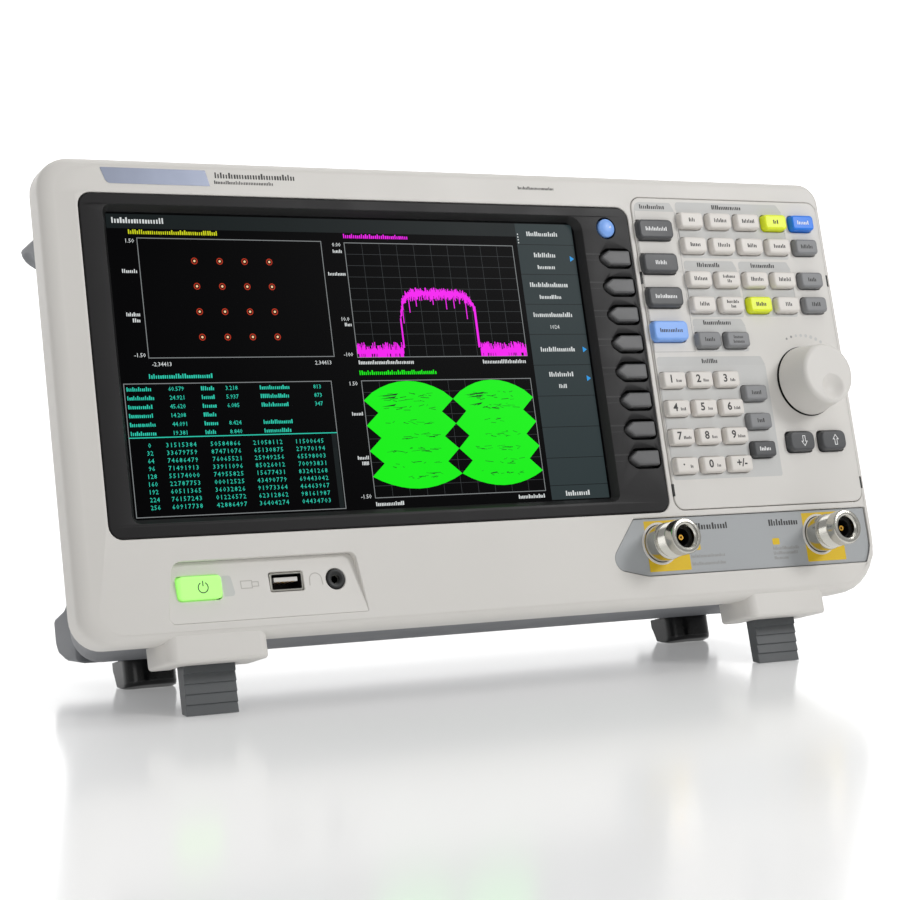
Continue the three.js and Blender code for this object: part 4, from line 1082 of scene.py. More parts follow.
def display_module():
    form = Form()
    node = screen_node
    ring = rect(node.x0, node.x1, node.z0, node.z1, 2)
    form.plate(ring, [(node.y0 + 0.3, -0.3), (node.y0 + 0.6, 0), (node.y1 - 0.4, 0), (node.y1, -0.4)], look=0)
    glass = rect(SCREEN["x0"] - 0.5, SCREEN["x1"] + 0.5, SCREEN["z0"] - 0.5, SCREEN["z1"] + 0.5, 0.8)
    form.plate(glass, [(node.y0, 0), (node.y0 + 0.5, 0)], look=1)
    for x in (node.x0 + 18, node.x1 - 18):
        for z in (node.z0 + 14, node.z1 - 14):
            form.lathe(x, z, [(0, node.y1 - 0.5), (3.2, node.y1 - 0.5), (3.2, node.y1 - 0.1), (0, node.y1)],
                       0, 20)
    piece("display_panel", form, [BLACK_PLASTIC_AND_SLOT_SHADE, SCREEN_DARK], "case", ["display_module"])


class Picture:
    """Flat, lit shapes that lie on the display's glass."""

    def __init__(self):
        self.form = Form()
        self.y = SCREEN["y"]

    def area(self, points, look, level=1):
        self.form.slab([(SCREEN_X + u, SCREEN_Z + v) for u, v in points], self.y - 0.02 * level,
                       self.y + 0.05, look)

    def block(self, u0, u1, v0, v1, look, level=1):
        self.area([(u0, v0), (u1, v0), (u1, v1), (u0, v1)], look, level)

    def stroke(self, points, width, look, level=2, closed=False):
        path = [(SCREEN_X + u, SCREEN_Z + v) for u, v in points]
        self.form.line(path, width, self.y - 0.02 * level, look, closed, 0.02 * level)

    def frame(self, u0, u1, v0, v1, look=LINE):
        self.stroke([(u0, v0), (u1, v0), (u1, v1), (u0, v1)], 0.32, look, 2, True)

    def words(self, u, v, width, height, look, seed):
        """Strokes that take the place of words, starting at u."""
        self.form.dashes(SCREEN_X + u + width / 2, SCREEN_Z + v, width, height, self.y, look, seed, 0.06)

    def number(self, text, u, v, height, look, space=1.0):
        self.form.glyph(text, SCREEN_X + u, SCREEN_Z + v, height, self.y, look, 0.06, space)


def grid(picture, u0, u1, v0, v1):
    for k in range(1, 10):
        u, v = u0 + (u1 - u0) * k / 10, v0 + (v1 - v0) * k / 10
        picture.stroke([(u, v0), (u, v1)], 0.16, GRID, 1)
        picture.stroke([(u0, v), (u1, v)], 0.16, GRID, 1)
    picture.frame(u0, u1, v0, v1)


def constellation(picture):
    picture.words(-102.3, 55.2, 39.5, 1.9, YELLOW, 400)
    picture.frame(-98.8, -15.8, 2.4, 52.6)
    for i in range(4):
        for j in range(4):
            u, v = -74.6 + 11.25 * i, 43.2 - 10.75 * j
            turns = [2 * math.pi * k / 14 for k in range(14)]
            picture.stroke([(u + 1.25 * math.cos(t), v + 1.25 * math.sin(t)) for t in turns], 0.42, RING, 2,
                           True)
            picture.area([(u + 0.5 * math.cos(t), v + 0.5 * math.sin(t)) for t in turns], SPOT, 3)
    for text, u, v in (("1.50", -102, 51.4), ("-1.50", -102.4, 3.6), ("-2.34413", -93.4, -0.2),
                       ("2.34413", -21.2, -0.2)):
        picture.number(text, u, v, 1.7, TEXT)
    picture.words(-106.5, 38.6, 6.8, 1.6, TEXT, 404)
    picture.words(-106.5, 20.5, 6.2, 1.6, TEXT, 405)
    picture.words(-104, 18, 3.6, 1.6, TEXT, 406)


def spectrum(picture):
    """A channel's shape in noise: one jagged band between a lower and an upper edge."""
    dice = random.Random(21)
    u0, u1, floor_v = -4.8, 78.9, 1.9
    grid(picture, u0, u1, floor_v, 52.2)
    picture.words(-4.8, 55.2, 31.5, 1.9, MAGENTA, 410)
    steps = 260
    for k in range(steps):
        u = u0 + (u1 - u0) * (k + 0.5) / steps
        inside = (u - 17.6) / (55.6 - 17.6)
        if 0 < inside < 1:
            dome = 31.9 - 7.5 * (2 * inside - 1) ** 6 - 2.2 * max(0, 1 - inside / 0.1) ** 2 * 3
            top = dome + dice.uniform(-1.2, 0.9)
            low = dome - dice.uniform(2.6, 5.2) - (dice.random() < 0.08) * dice.uniform(2, 7)
            if inside < 0.02 or inside > 0.975:
                low = floor_v + 4
        else:
            top, low = floor_v + dice.uniform(3.0, 6.6), floor_v + dice.choice([0, 0, 0, 1.5])
        half = (u1 - u0) / steps * 0.62
        picture.block(u - half, u + half, low, top, MAGENTA, 2 + k % 2)
    for text, u, v in (("0.00", -8.6, 51.3), ("-100", -9, 3.2), ("10.0", -8.4, 18.6)):
        picture.number(text, u, v, 1.7, TEXT)
    picture.words(-10.6, 48.4, 4.6, 1.5, TEXT, 411)
    picture.words(-14, 38.4, 8.4, 1.5, TEXT, 412)
    picture.words(-9, 16.2, 3.4, 1.5, TEXT, 413)
    picture.words(-4.6, -0.3, 26.6, 1.7, TEXT, 414)
    picture.words(56, -0.5, 22, 1.7, TEXT, 415)


def table(picture):
    dice = random.Random(33)
    picture.words(-99.5, -5.2, 27.8, 1.9, CYAN, 420)
    picture.frame(-110.6, -18.6, -62.2, -8.2)
    picture.stroke([(-110.6, -30.2), (-18.6, -30.2)], 0.4, CYAN)
    columns = ((-109.6, 12, 0), (-93.4, 10, 1), (-77.6, 6.4, 0), (-68.6, 9, 1), (-51.5, 15, 0),
               (-27.6, 4.4, 1))
    for row in range(6):
        v = -10.4 - 3.62 * row
        for k, (u, width, numeric) in enumerate(columns):
            if (row == 3 and k > 2) or (row > 3 and k == 5):
                continue
            if numeric:
                text = "%.*f" % (3 if k < 5 else 0,
                                 dice.uniform(1, 9) * (10 if k == 1 else 1) * (100 if k == 5 else 1))
                picture.number(text, u + width / 2, v, 1.75, CYAN)
            else:
                picture.words(u, v, width * dice.uniform(0.75, 1), 1.7, CYAN, 430 + row * 8 + k)
    rows = []
    for row in range(9):
        groups = ["".join(dice.choice("0123456789") for _ in range(8)) for _ in range(4)]
        rows.append(groups)
    for column, u in enumerate((-88.6, -69.4, -50.6, -31.6)):
        for row in range(9):
            picture.number(rows[row][column], u, -33.4 - 3.13 * row, 1.85, CYAN, space=1.28)
    for row in range(9):
        picture.number(str(32 * row), -102.2, -33.4 - 3.13 * row, 1.85, CYAN, space=1.1)
    picture.block(-21.4, -19.2, -61.8, -30.6, BAR)
    picture.block(-21.4, -19.2, -36.8, -30.8, FAINT, 2)


def eye_lobe(u0, u1, rows, top, bottom):
    """One column of the eye pattern: waists at both sides, an arc above and an arc below."""
    w = u1 - u0
    ring = []
    for k in range(11):
        t = k / 10
        ring.append((u0 + w * (1 - t), rows[0] + (top - rows[0]) * math.sin(math.pi * t) ** 0.75))
    waists = []
    for a, b in zip(rows, rows[1:]):
        waists.append((u0 + w * 0.145, (a + b) / 2))
        waists.append((u0, b))
    ring += waists
    for k in range(1, 11):
        t = k / 10
        ring.append((u0 + w * t, rows[-1] + (bottom - rows[-1]) * math.sin(math.pi * t) ** 0.85))
    for a, b in reversed(list(zip(rows, rows[1:]))):
        ring.append((u1 - w * 0.145, (a + b) / 2))
        ring.append((u1, a))
    return ring[:-1]


def eye_diagram(picture):
    dice = random.Random(8)
    u0, u1, top, bottom = -4.4, 78.9, -8.3, -58.4
    grid(picture, u0, u1, bottom, top)
    picture.words(-4.8, -4.8, 37.3, 1.9, GREEN, 450)
    rows = [-16.8, -27.6, -38.5, -49.4]
    middle = (u0 + u1) / 2 + 1.4
    for left, right in ((u0, middle), (middle, u1)):
        picture.area(eye_lobe(left, right, rows, top - 0.3, -55.2), GREEN, 3)
        width = right - left
        for _ in range(90):
            at = dice.choice([0.06, 0.1, 0.2, 0.35, 0.5, 0.65, 0.8, 0.92])
            v = rows[0] + 4.5 + at * (rows[-1] - rows[0] - 8) + dice.uniform(-1.2, 1.2)
            u = left + width * dice.uniform(0.22, 0.78)
            long, rise = dice.uniform(0.8, 4.2), dice.uniform(-0.35, 0.35)
            picture.stroke([(u - long / 2, v - rise), (u + long / 2, v + rise)], dice.uniform(0.1, 0.24),
                           BAR, 4)
        for v, long in ((rows[0] + 2.2, 9), (rows[0] + 1.0, 7), (rows[0] - 2.4, 6)):
            u = left + width * 0.26
            picture.area([(u - long / 2, v - 0.5), (u + long / 2, v - 0.2), (u + long / 2 + 1, v + 0.6)],
                         BAR, 5)
    for text, u, v in (("1.50", -8.2, -9.4), ("-1.50", -8.6, -57.6)):
        picture.number(text, u, v, 1.7, TEXT)
    picture.words(-10.6, -22.4, 5.4, 1.5, TEXT, 451)
    picture.words(-10.4, -41.2, 5.6, 1.5, TEXT, 452)
    picture.words(-8.6, -43.6, 3.4, 1.5, TEXT, 453)
    picture.words(-4.4, -61, 13.4, 1.7, TEXT, 454)
    picture.words(65, -60.6, 13.4, 1.7, TEXT, 455)


def menu(picture):
    picture.block(MENU_LEFT, SCREEN_W, -SCREEN_H, SCREEN_H, MENU)
    picture.block(-SCREEN_W, MENU_LEFT, 56.6, SCREEN_H, BAR)
    for v in (53.0, 39.2, 25.4, 11.6, -2.4, -16.4, -30.4, -44.2, -56.4):
        picture.stroke([(MENU_LEFT, v), (SCREEN_W, v)], 0.3, FAINT)
    for k, (v, width, look, height) in enumerate((
            (58.0, 16.5, TEXT, 2.1), (48.2, 11.6, TEXT, 2.1), (42.6, 9.4, TEXT, 1.8), (34.4, 20, TEXT, 2.1),
            (28.8, 11.6, TEXT, 1.8), (20.6, 20.6, TEXT, 2.1), (4.8, 18, TEXT, 2.1), (-6.6, 12.8, TEXT, 2.1),
            (-12, 4.2, TEXT, 1.8), (-60, 12.6, TEXT, 2.2))):
        picture.words(95.4 - width / 2, v, width, height, look, 460 + k)
    picture.number("1024", 95.4, 15, 1.8, TEXT)
    for v in (46.6, 4.6, -8.6):
        picture.area([(108.4, v - 1.3), (110.5, v), (108.4, v + 1.3)], MARK, 3)
    for k in range(4):
        picture.block(82.2, 82.7, 57.4 - 1.3 * k, 58.0 - 1.3 * k, TEXT, 2)
    picture.words(-109, 60, 23, 2.4, TEXT, 470)


def screen_picture():
    picture = Picture()
    menu(picture)
    constellation(picture)
    spectrum(picture)
    table(picture)
    eye_diagram(picture)
    looks = [SCREEN_DARK, PIX_CYAN, PIX_GREEN, PIX_MAGENTA, PIX_YELLOW, PIX_TEXT, PIX_FAINT, PIX_GRID,
             PIX_MENU, PIX_BAR,
             PIX_RING, PIX_SPOT, PIX_MARK, PIX_LINE]
    piece("screen_picture", picture.form, looks, "case", weighted=False)


display_module()
screen_picture()

# ---------------------------------------------------------------- legs and feet


def reshape(form, place):
    for v in form.verts:
        v.xyz = place(v.x, v.y, v.z)


def tube(form, x0, x1, y, z, radius, look=0, bore=0.0, steps=32):
    """A pin across x, added to the form in the case's own axes."""
    start = len(form.verts)
    form.lathe(0, 0, [(bore, x0), (radius - 0.25, x0), (radius, x0 + 0.25), (radius, x1 - 0.25),
                      (radius - 0.25, x1),
                      (bore, x1)], look, steps)
    for v in form.verts[start:]:
        v.xyz = (v.y, y + v.x, z + v.z)


def leg_housing(side):
    name = "leg_housing_" + side
    node, leg = case_box(name), case_box("tilt_leg_" + side)
    form = Form()
    slot = (leg.w - 6) / 2 + 0.5
    cx, front, back, stop = node.cx, 0.7, node.y1, leg.y0 - 0.6
    half, foot = node.w / 2 - 2.0, node.z0
    plan = shape([(cx - half, front), (cx + half, front), (cx + half, back), (cx + slot, back),
                  (cx + slot, stop),
                  (cx - slot, stop), (cx - slot, back), (cx - half, back)],
                  [4.5, 4.5, 1, 0.4, 0.8, 0.8, 0.4, 1])
    form.plate(plan, rounded(foot, 1.6, 3.4, 0, 5), look=0)
    reshape(form, lambda x, depth, y: (x, y - 0.05 * (3.4 - depth), depth))
    piece(name + "_shell", form, [OFF_WHITE], "case", [name], angle=44)


TOE_CLEAR = 0.999


def tilt_leg(side):
    name = "tilt_leg_" + side
    node = case_box(name)
    pivot = CASE.inverted() @ Vector(joints[name + "_fold"]["pos_m"])
    half = node.w / 2 - 3
    top, front_top = pivot.z - 2, node.y0
    toe_y = front_top + 1.2
    toe = floor_at(toe_y)
    pitch, depth = 4.1, 0.75

    def edge(z):
        return front_top + (toe_y - front_top) * (top - z) / (top - toe)

    profile = [(front_top, top + 1.4)]
    z = top - 4.6
    while z > toe + 1.5:
        profile += [(edge(z), z), (edge(z) + depth, z - 0.35)]
        z -= pitch
    profile += [(toe_y, toe), (toe_y + 5.4, floor_at(toe_y + 5.4)), (pivot.y + 2.4, top),
                (pivot.y + 1.5, pivot.z + 2),
                (pivot.y - 1.5, pivot.z + 2.6)]
    form = Form()
    ring = outline(list(reversed(profile)), 0.25, 0, 2)
    middle_y = sum(y for y, _ in ring) / len(ring)

    def grown(grow=0.0):
        """The leg's outline drawn in from front and back, and kept just clear of the floor at its toe."""
        scale = 1 + grow / 8
        return [(middle_y + (y - middle_y) * scale, max(z, TOE_CLEAR * z)) for y, z in ring]

    form.plate(grown, [(-half, -0.5), (-half + 0.5, 0), (half - 0.5, 0), (half, -0.5)], look=0)
    reshape(form, lambda y, x, z: (node.cx + x, y, z))
    tube(form, node.cx - half, node.cx + half, pivot.y, pivot.z, 3.35)
    tube(form, node.x0 + 0.1, node.x1 - 0.1, pivot.y, pivot.z, 1.5)
    piece(name + "_blade", form, [LEG_GREY], name, [name], angle=30)


def rear_foot(side):
    name = "rear_foot_" + side
    node = case_box(name)
    points = case_points(name)
    low = [p for p in points if p.z - floor_at(p.y) < 0.05]
    pad0, pad1 = min(p.y for p in low), max(p.y for p in low)
    front, back, half, corner = node.y0, node.y1, node.w / 2, 8.5
    profile = [(back, 2.6), (front, 2.6), (front, floor_at(front) + 3.2), (pad0, floor_at(pad0)),
               (pad1, floor_at(pad1)), (back - 1.8, floor_at(back) + 4.4), (back, -1)]
    base = outline([(y, z) for y, z in profile], [0.3, 0.3, 2.4, 6, 5, 5, 2], 0, 5)
    form = Form()
    rings = []
    steps = 18
    for k in range(steps + 1):
        x = half * math.sin(math.pi * (k / steps - 0.5))
        past = max(0, abs(x) - (half - corner))
        shift = corner - math.sqrt(max(0, corner * corner - past * past))
        ring = []
        for y, z in base:
            y_new = back - (back - y) * (back - front - shift) / (back - front)
            ring.append((y_new, max(z, floor_at(y_new))))
        rings.append(form.points(ring, x))
    for a, b in zip(rings, rings[1:]):
        form.strip(a, b, 0)
    form.cap([rings[0]], 0)
    form.cap([rings[-1]], 0)
    reshape(form, lambda y, x, z: (node.cx + x, y, z))
    piece(name + "_rubber", form, [FOOT_BLACK], "case", [name], angle=40)


for side in ("left", "right"):
    leg_housing(side)
    tilt_leg(side)
    rear_foot(side)

# ---------------------------------------------------------------- rear cover

cover_points = case_points("rear_cover")
cover_box = case_box("rear_cover")
COVER_FRONT = cover_box.y0
BACK_Y = case_box("ac_inlet").y1 - 2.7
back_points = [p for p in cover_points if abs(p.y - BACK_Y) < 0.05]
BACK_HALF = max(p.x for p in back_points)
TOP_FRONT = max(p.z for p in cover_points if p.y < COVER_FRONT + 0.05)
TOP_BACK = max(p.z for p in back_points)
BOTTOM_BACK = min(p.z for p in back_points)
BEND_Y = 63.0
SLOPE = math.atan((TOP_FRONT - TOP_BACK) / (BACK_Y - COVER_FRONT))
WALL = 2.6


def top_at(y):
    return TOP_FRONT - (y - COVER_FRONT) * math.tan(SLOPE)


def cover_ring(y, inset, steps=8):
    """The cover's outline at depth y: it narrows to the back, its top falls and its floor rises at last."""
    along = (y - COVER_FRONT) / (BACK_Y - COVER_FRONT)
    half = HALF - 0.6 + along * (BACK_HALF - HALF + 0.6) - inset
    top = top_at(y) - inset
    bottom = 0.6 + BOTTOM_BACK * max(0, (y - BEND_Y) / (BACK_Y - BEND_Y)) + inset
    radii = [max(r - inset, 1.5) for r in (13, 24, 10, 14)]
    return outline([(-half, bottom), (half, bottom), (half, top), (-half, top)], radii, 0, steps)


def cut(mesh, cutter):
    """Cuts one closed mesh from another."""
    holders = []
    for data in (mesh, cutter):
        obj = bpy.data.objects.new("work", data)
        bpy.context.scene.collection.objects.link(obj)
        holders.append(obj)
    change = holders[0].modifiers.new("cut", "BOOLEAN")
    change.operation = "DIFFERENCE"
    change.solver = "EXACT"
    change.object = holders[1]
    bpy.context.view_layer.update()
    result = bpy.data.meshes.new_from_object(holders[0].evaluated_get(bpy.context.evaluated_depsgraph_get()))
    for obj in holders:
        data = obj.data
        bpy.data.objects.remove(obj)
        bpy.data.meshes.remove(data)
    return result


fan_box, inlet_box, plate_box = case_box("fan_frame"), case_box("ac_inlet"), case_box("rear_socket_plate")
pivot = CASE.inverted() @ Vector(joints["carry_handle_lift"]["pos_m"])
handle_box = case_box("carry_handle")
WELL_HALF = handle_box.w / 2 - 1.6
WELL = {"y0": pivot.y - 9, "y1": pivot.y + 47, "depth": 27.0}


def rear_cover():
    form = Form()
    rings = []
    edge = 3.0
    for y, inset in [(COVER_FRONT + 2.0, WALL), (COVER_FRONT, WALL - 0.3), (COVER_FRONT, 0.4),
                     (COVER_FRONT + 0.4, 0)]:
        rings.append(form.points(cover_ring(y, inset), y))
    for y in (24, 36, 48, BEND_Y, 70, 80, BACK_Y - 8):
        rings.append(form.points(cover_ring(y, 0), y))
    for k in range(6):
        a = math.pi / 2 * k / 5
        y = BACK_Y - edge * (1 - math.sin(a))
        rings.append(form.points(cover_ring(y, edge * (1 - math.cos(a))), y))
    inner = [form.points(cover_ring(y, WALL + (1.5 if y > 90 else 0)), y) for y in (BACK_Y - WALL,
                                                                                    BACK_Y - WALL - 4, 50)]
    for a, b in zip(rings, rings[1:]):
        form.strip(a, b, 0)
    form.cap([rings[-1]], 0)
    form.cap([inner[0]], 0)
    loop = inner + [rings[0]]
    for a, b in zip(loop, loop[1:]):
        form.strip(a, b, 0)
    shell = mesh_of("rear_shell", form, [SHELL_GREY])
    tools = Form()

    def block(x0, x1, y0, y1, z0, z1, radius=1.2):
        tools.slab(rect(x0, x1, z0, z1, radius, 3)(), y0, y1)

    past, rows = 8, 7
    for k in range(rows):
        z = fan_box.cz + (k - 3) * 7.5
        block(fan_box.cx - 23, fan_box.cx + 23, BACK_Y - past, BACK_Y + past, z - 1.8, z + 1.8, 1.7)
    block(inlet_box.x0 + 3, inlet_box.x1 - 3, BACK_Y - past, BACK_Y + past, inlet_box.z0 + 3,
          inlet_box.z1 - 3, 0.5)
    block(plate_box.x0 + 3, plate_box.x1 - 3, BACK_Y - past, BACK_Y + past, plate_box.z0 + 3,
          plate_box.z1 - 3, 1)
    for sign in (-1, 1):
        for k in range(rows):
            y = 34 + 7 * k
            x0, x1 = sorted((sign * HALF, sign * HALF * 0.75))
            block(x0, x1, y, y + 3, 70, 130, 0.1)
    shell = cut(shell, mesh_of("slots", tools, []))
    well = Form()
    well.slab(rect(-WELL_HALF - 2.1, WELL_HALF + 2.1, WELL["y0"] - 2.1, WELL["y1"] + 2.1, 4, 4)(), -12, 12)
    reshape(well, lambda x, depth, y: (x, y, top_at(y) - depth))
    shell = cut(shell, mesh_of("well", well, []))
    finish_piece("rear_shell", shell, "case", ["rear_cover"], 40)


def handle_well():
    form = Form()
    ring = rect(-WELL_HALF, WELL_HALF, WELL["y0"], WELL["y1"], 2.5, 4)
    depth = WELL["depth"]
    path = [(depth + 2, 2), (0.5, 2), (0.15, 1.7), (0.15, 0.3), (0.5, 0), (depth - 2, 0),
            (depth - 0.6, -0.6), (depth, -2)]
    first, last = form.wall(ring, path, 0)
    form.cap([first], 0)
    form.cap([last], 0)
    reshape(form, lambda x, d, y: (x, y, top_at(y) - d))
    piece("handle_well", form, [SHELL_GREY], "case", angle=40)


horn_box = Box([p for p in cover_points if p.y > BACK_Y + 1])
HORN_BACK = horn_box.y1
HORN_IN = min(abs(p.x) for p in cover_points if p.y > BACK_Y + 1)
HORN_OUT = horn_box.x1


def horn(side, upper):
    """A corner horn: its side profile is drawn in y and z, and its outer face is scooped out below."""
    root = BACK_Y - 6
    if upper:
        edge = TOP_BACK - 0.35
        full = [(root, -27), (HORN_BACK - 10, -20), (HORN_BACK, -12), (HORN_BACK, -1.5),
                (HORN_BACK - 1.5, 0), (root, 0)]
        scooped = [(root, -21), (HORN_BACK - 12, -6), (HORN_BACK, -8.5), (HORN_BACK, -1.5),
                   (HORN_BACK - 1.5, 0), (root, 0)]
        radii = [1, 9, 5, 2.5, 2.5, 1]
    else:
        edge = BOTTOM_BACK
        full = [(root, 0), (HORN_BACK - 11, 3), (HORN_BACK - 2.5, 7), (HORN_BACK, 11.5), (HORN_BACK, 22),
                (HORN_BACK - 2, 23.5), (HORN_BACK - 15, 25.5), (root, 34)]
        scooped = full
        radii = [1, 9, 5, 6, 2, 2, 8, 1]
    form = Form()

    def ring(mix, grow):
        drawn = [(a[0] + (b[0] - a[0]) * mix, edge + a[1] + (b[1] - a[1]) * mix) for a,
                 b in zip(full, scooped)]
        return outline(drawn, radii, grow, 5)

    lean = (HORN_OUT - HORN_IN)
    path = [(0, 0, -1.2), (0.4, 0, -0.4), (1.2, 0, 0), (lean - 13, 0, 0), (lean - 8, 0.35, 0),
            (lean - 3.4, 0.75, -0.1),
            (lean - 1.6, 0.9, -0.5), (lean - 0.5, 1, -1.3), (lean, 1, -2.4)]
    rings = [form.points(ring(mix, grow), x) for x, mix, grow in path]
    for a, b in zip(rings, rings[1:]):
        form.strip(a, b, 0)
    form.cap([rings[0]], 0)
    form.cap([rings[-1]], 0)
    sign = -1 if side == "left" else 1
    reshape(form, lambda y, x, z: (sign * (HORN_IN + x), y, z))
    name = "corner_horn_%s_%s" % (side, "upper" if upper else "lower")
    piece(name, form, [SHELL_GREY], "case", angle=30)


def carry_handle():
    form = Form()
    half, arm, length, bar, thick = 66.0, 11.0, 46.0, 15.0, 9.0
    inner = half - arm
    corners = [(-half, -6), (-inner, -6), (-inner, length - bar), (inner, length - bar), (inner, -6),
               (half, -6),
               (half, length), (-half, length)]
    ring = shape(corners, [3, 3, 4, 4, 3, 3, 9, 9])
    front = rounded(-thick / 2, 2.4, 0, 0, 5)
    back = [(-d, g) for d, g in reversed(front[:-1])]
    form.plate(ring, front[:-1] + [(0, 0)] + back, look=0)
    c, s = math.cos(SLOPE), math.sin(SLOPE)
    ribs = 11
    for k in range(ribs):
        x = (k - (ribs - 1) / 2) * 7.5
        form.plate(rect(x - 1.2, x + 1.2, length - bar + 3, length - 3, 1, 3),
                   [(-thick / 2 - 0.45, -0.5), (-thick / 2 - 0.2, 0), (-thick / 2 + 0.4, 0)], look=1)
    reshape(form, lambda x, d, y: (x, pivot.y + y * c - d * s, pivot.z - y * s - d * c))
    for sign in (-1, 1):
        x0, x1 = sorted((sign * (half - 3), sign * (handle_box.w / 2 - 0.1)))
        tube(form, x0, x1, pivot.y, pivot.z, 2.35, 2)
    piece("carry_handle_grip", form, [SHELL_GREY, BLACK_PLASTIC_AND_SLOT_SHADE, STEEL], "carry_handle",
          ["carry_handle"],
          angle=40)


rear_cover()
handle_well()
for side in ("left", "right"):
    horn(side, True)
    horn(side, False)
carry_handle()

# ---------------------------------------------------------------- rear sockets and what is inside


def back_plate(form, ring, y0, y1, look, edge=0.4, holes=()):
    """A plate whose rounded edge is at its back, y1."""
    form.plate(ring, [(y1, -edge), (y1 - edge * 0.3, -edge * 0.3), (y1 - edge, 0), (y0, 0)], holes,
               [(y1, -0.2), (y1 - 0.2, 0), (y0, 0)], look)


def ac_inlet():
    form = Form()
    b = inlet_box
    slot = rect(b.cx - 12.3, b.cx + 12.3, b.cz - 8.3, b.cz + 8.3, [0.8, 0.8, 5, 5], 4)
    outer = rect(b.x0, b.x1, b.z0, b.z1, 2.4)
    back_plate(form, outer, b.y1 - 2.4, b.y1, 0, 0.8, [slot])
    well = rect(b.x0 + 3.3, b.x1 - 3.3, b.z0 + 3.3, b.z1 - 3.3, 1.0)
    first, last = form.wall(well, [(b.y1 - 2, 0), (b.y0, 0)], 0)
    inner_first, inner_last = form.wall(slot, [(b.y1 - 2, 0), (b.y1 - 17, 0)], 0)
    form.cap([first, inner_first], 0)
    form.cap([last], 0)
    form.cap([inner_last], 0)
    for dx, dz in ((0, 3.4), (-7, -1.6), (7, -1.6)):
        form.slab(rect(b.cx + dx - 1, b.cx + dx + 1, b.cz + dz - 2, b.cz + dz + 2, 0.4, 3)(), b.y1 - 17.2,
                  b.y1 - 6, 1)
    piece("mains_inlet", form, [BLACK_PLASTIC_AND_SLOT_SHADE, NICKEL], "case", ["ac_inlet"], angle=34)


def screw(form, x, y, z, radius, look, dark):
    """A pan head screw seen from behind, its cross slot a black bar: painted shade where the recess is."""
    form.lathe(x, z, [(0, y + 1.5), (radius * 0.6, y + 1.35), (radius * 0.95, y + 0.7), (radius, y), (0, y)],
               look, 28)
    for w, h in ((radius * 1.1, 0.3), (0.3, radius * 1.1)):
        form.slab(rect(x - w / 2, x + w / 2, z - h / 2, z + h / 2, 0.1, 2)(), y + 1.2, y + 1.54, dark)


def rear_sockets():
    form = Form()
    b = plate_box
    plate_back = b.y1 - 14
    front = plate_back - 1.4
    ports = [(b.x0 + 68, 12.4, 9.4, 15.6, 12.4), (b.x0 + 92, 9, 8.2, 12, 11)]
    slots = [rect(x - w / 2, x + w / 2, b.cz - h / 2, b.cz + h / 2, 0.4, 3) for x, w, h, _, _ in ports]
    form.plate(rect(b.x0, b.x1, b.z0, b.z1, 1.5), [(plate_back, -0.2), (plate_back - 0.2, 0), (front, 0)],
               slots,
               [(plate_back, 0), (front, 0)], 0)
    for (x, w, h, ow, oh), slot in zip(ports, slots):
        mouth = plate_back + 1.4
        outer = rect(x - ow / 2, x + ow / 2, b.cz - oh / 2, b.cz + oh / 2, 0.6, 3)
        form.plate(outer, [(mouth, -0.25), (mouth - 0.25, 0), (plate_back - 0.5, 0)], [slot],
                   [(mouth, -0.25), (mouth - 0.25, 0), (plate_back - 0.5, 0)], 0)
        deep = form.wall(slot, [(plate_back, 0.3), (mouth - 14, 0.3)],
                         1), form.wall(slot, [(plate_back, 0), (mouth - 13.6, 0)], 1)
        form.strip(deep[0][0], deep[1][0], 1)
        form.cap([deep[0][1]], 1)
        form.cap([deep[1][1]], 1)
        contacts = 8 if w > 10 else 2
        for k in range(contacts):
            cx = x + (k - (contacts - 1) / 2) * 1.02
            form.slab(rect(cx - 0.25, cx + 0.25, b.cz + h / 2 - 2.2, b.cz + h / 2 - 0.6, 0.05, 1)(),
                      mouth - 11, mouth - 3, 3)
    for x in (b.x0 + 14, b.x0 + 32, b.x0 + 50):
        end = b.y1
        profile = [(0, end - 8), (1.9, end - 8), (1.9, end - 1.2), (3.55, end - 1.0), (3.6, end), (4.4, end),
                   (4.8, end - 0.4)]
        at = end - 0.9
        while at > plate_back + 3.6:
            profile += [(4.8, at), (4.5, at - 0.3), (4.8, at - 0.6)]
            at -= 0.8
        profile += [(4.8, plate_back + 3), (6.4, plate_back + 3), (6.4, plate_back), (3.4, front - 0.5),
                    (3.4, b.y0 + 8), (0, b.y0 + 8)]
        form.lathe(x, b.cz, profile, 0, 40)
        form.lathe(x, b.cz, [(0, end - 7.8), (1.85, end - 7.8), (1.85, end - 2.4), (0.8, end - 2.4),
                             (0.8, end - 5), (0, end - 5)], 2, 28)
        for sign in (-1, 1):
            form.lathe(x + sign * 4.9, b.cz,
                       [(0, end - 3.4), (1.0, end - 3.4), (1.0, end - 4.8), (0, end - 4.8)], 0, 14)
    for x, z in ((b.x0 + 4, b.z1 - 1.6), (b.x1 - 4, b.z1 - 1.6)):
        form.lathe(x, z, [(0, plate_back + 0.5), (1.0, plate_back + 0.4), (1.3, plate_back),
                          (0, plate_back)], 0, 20)
    piece("rear_connectors", form, [NICKEL, BLACK_PLASTIC_AND_SLOT_SHADE, OFF_WHITE, GOLD], "case",
          ["rear_socket_plate"], angle=34)


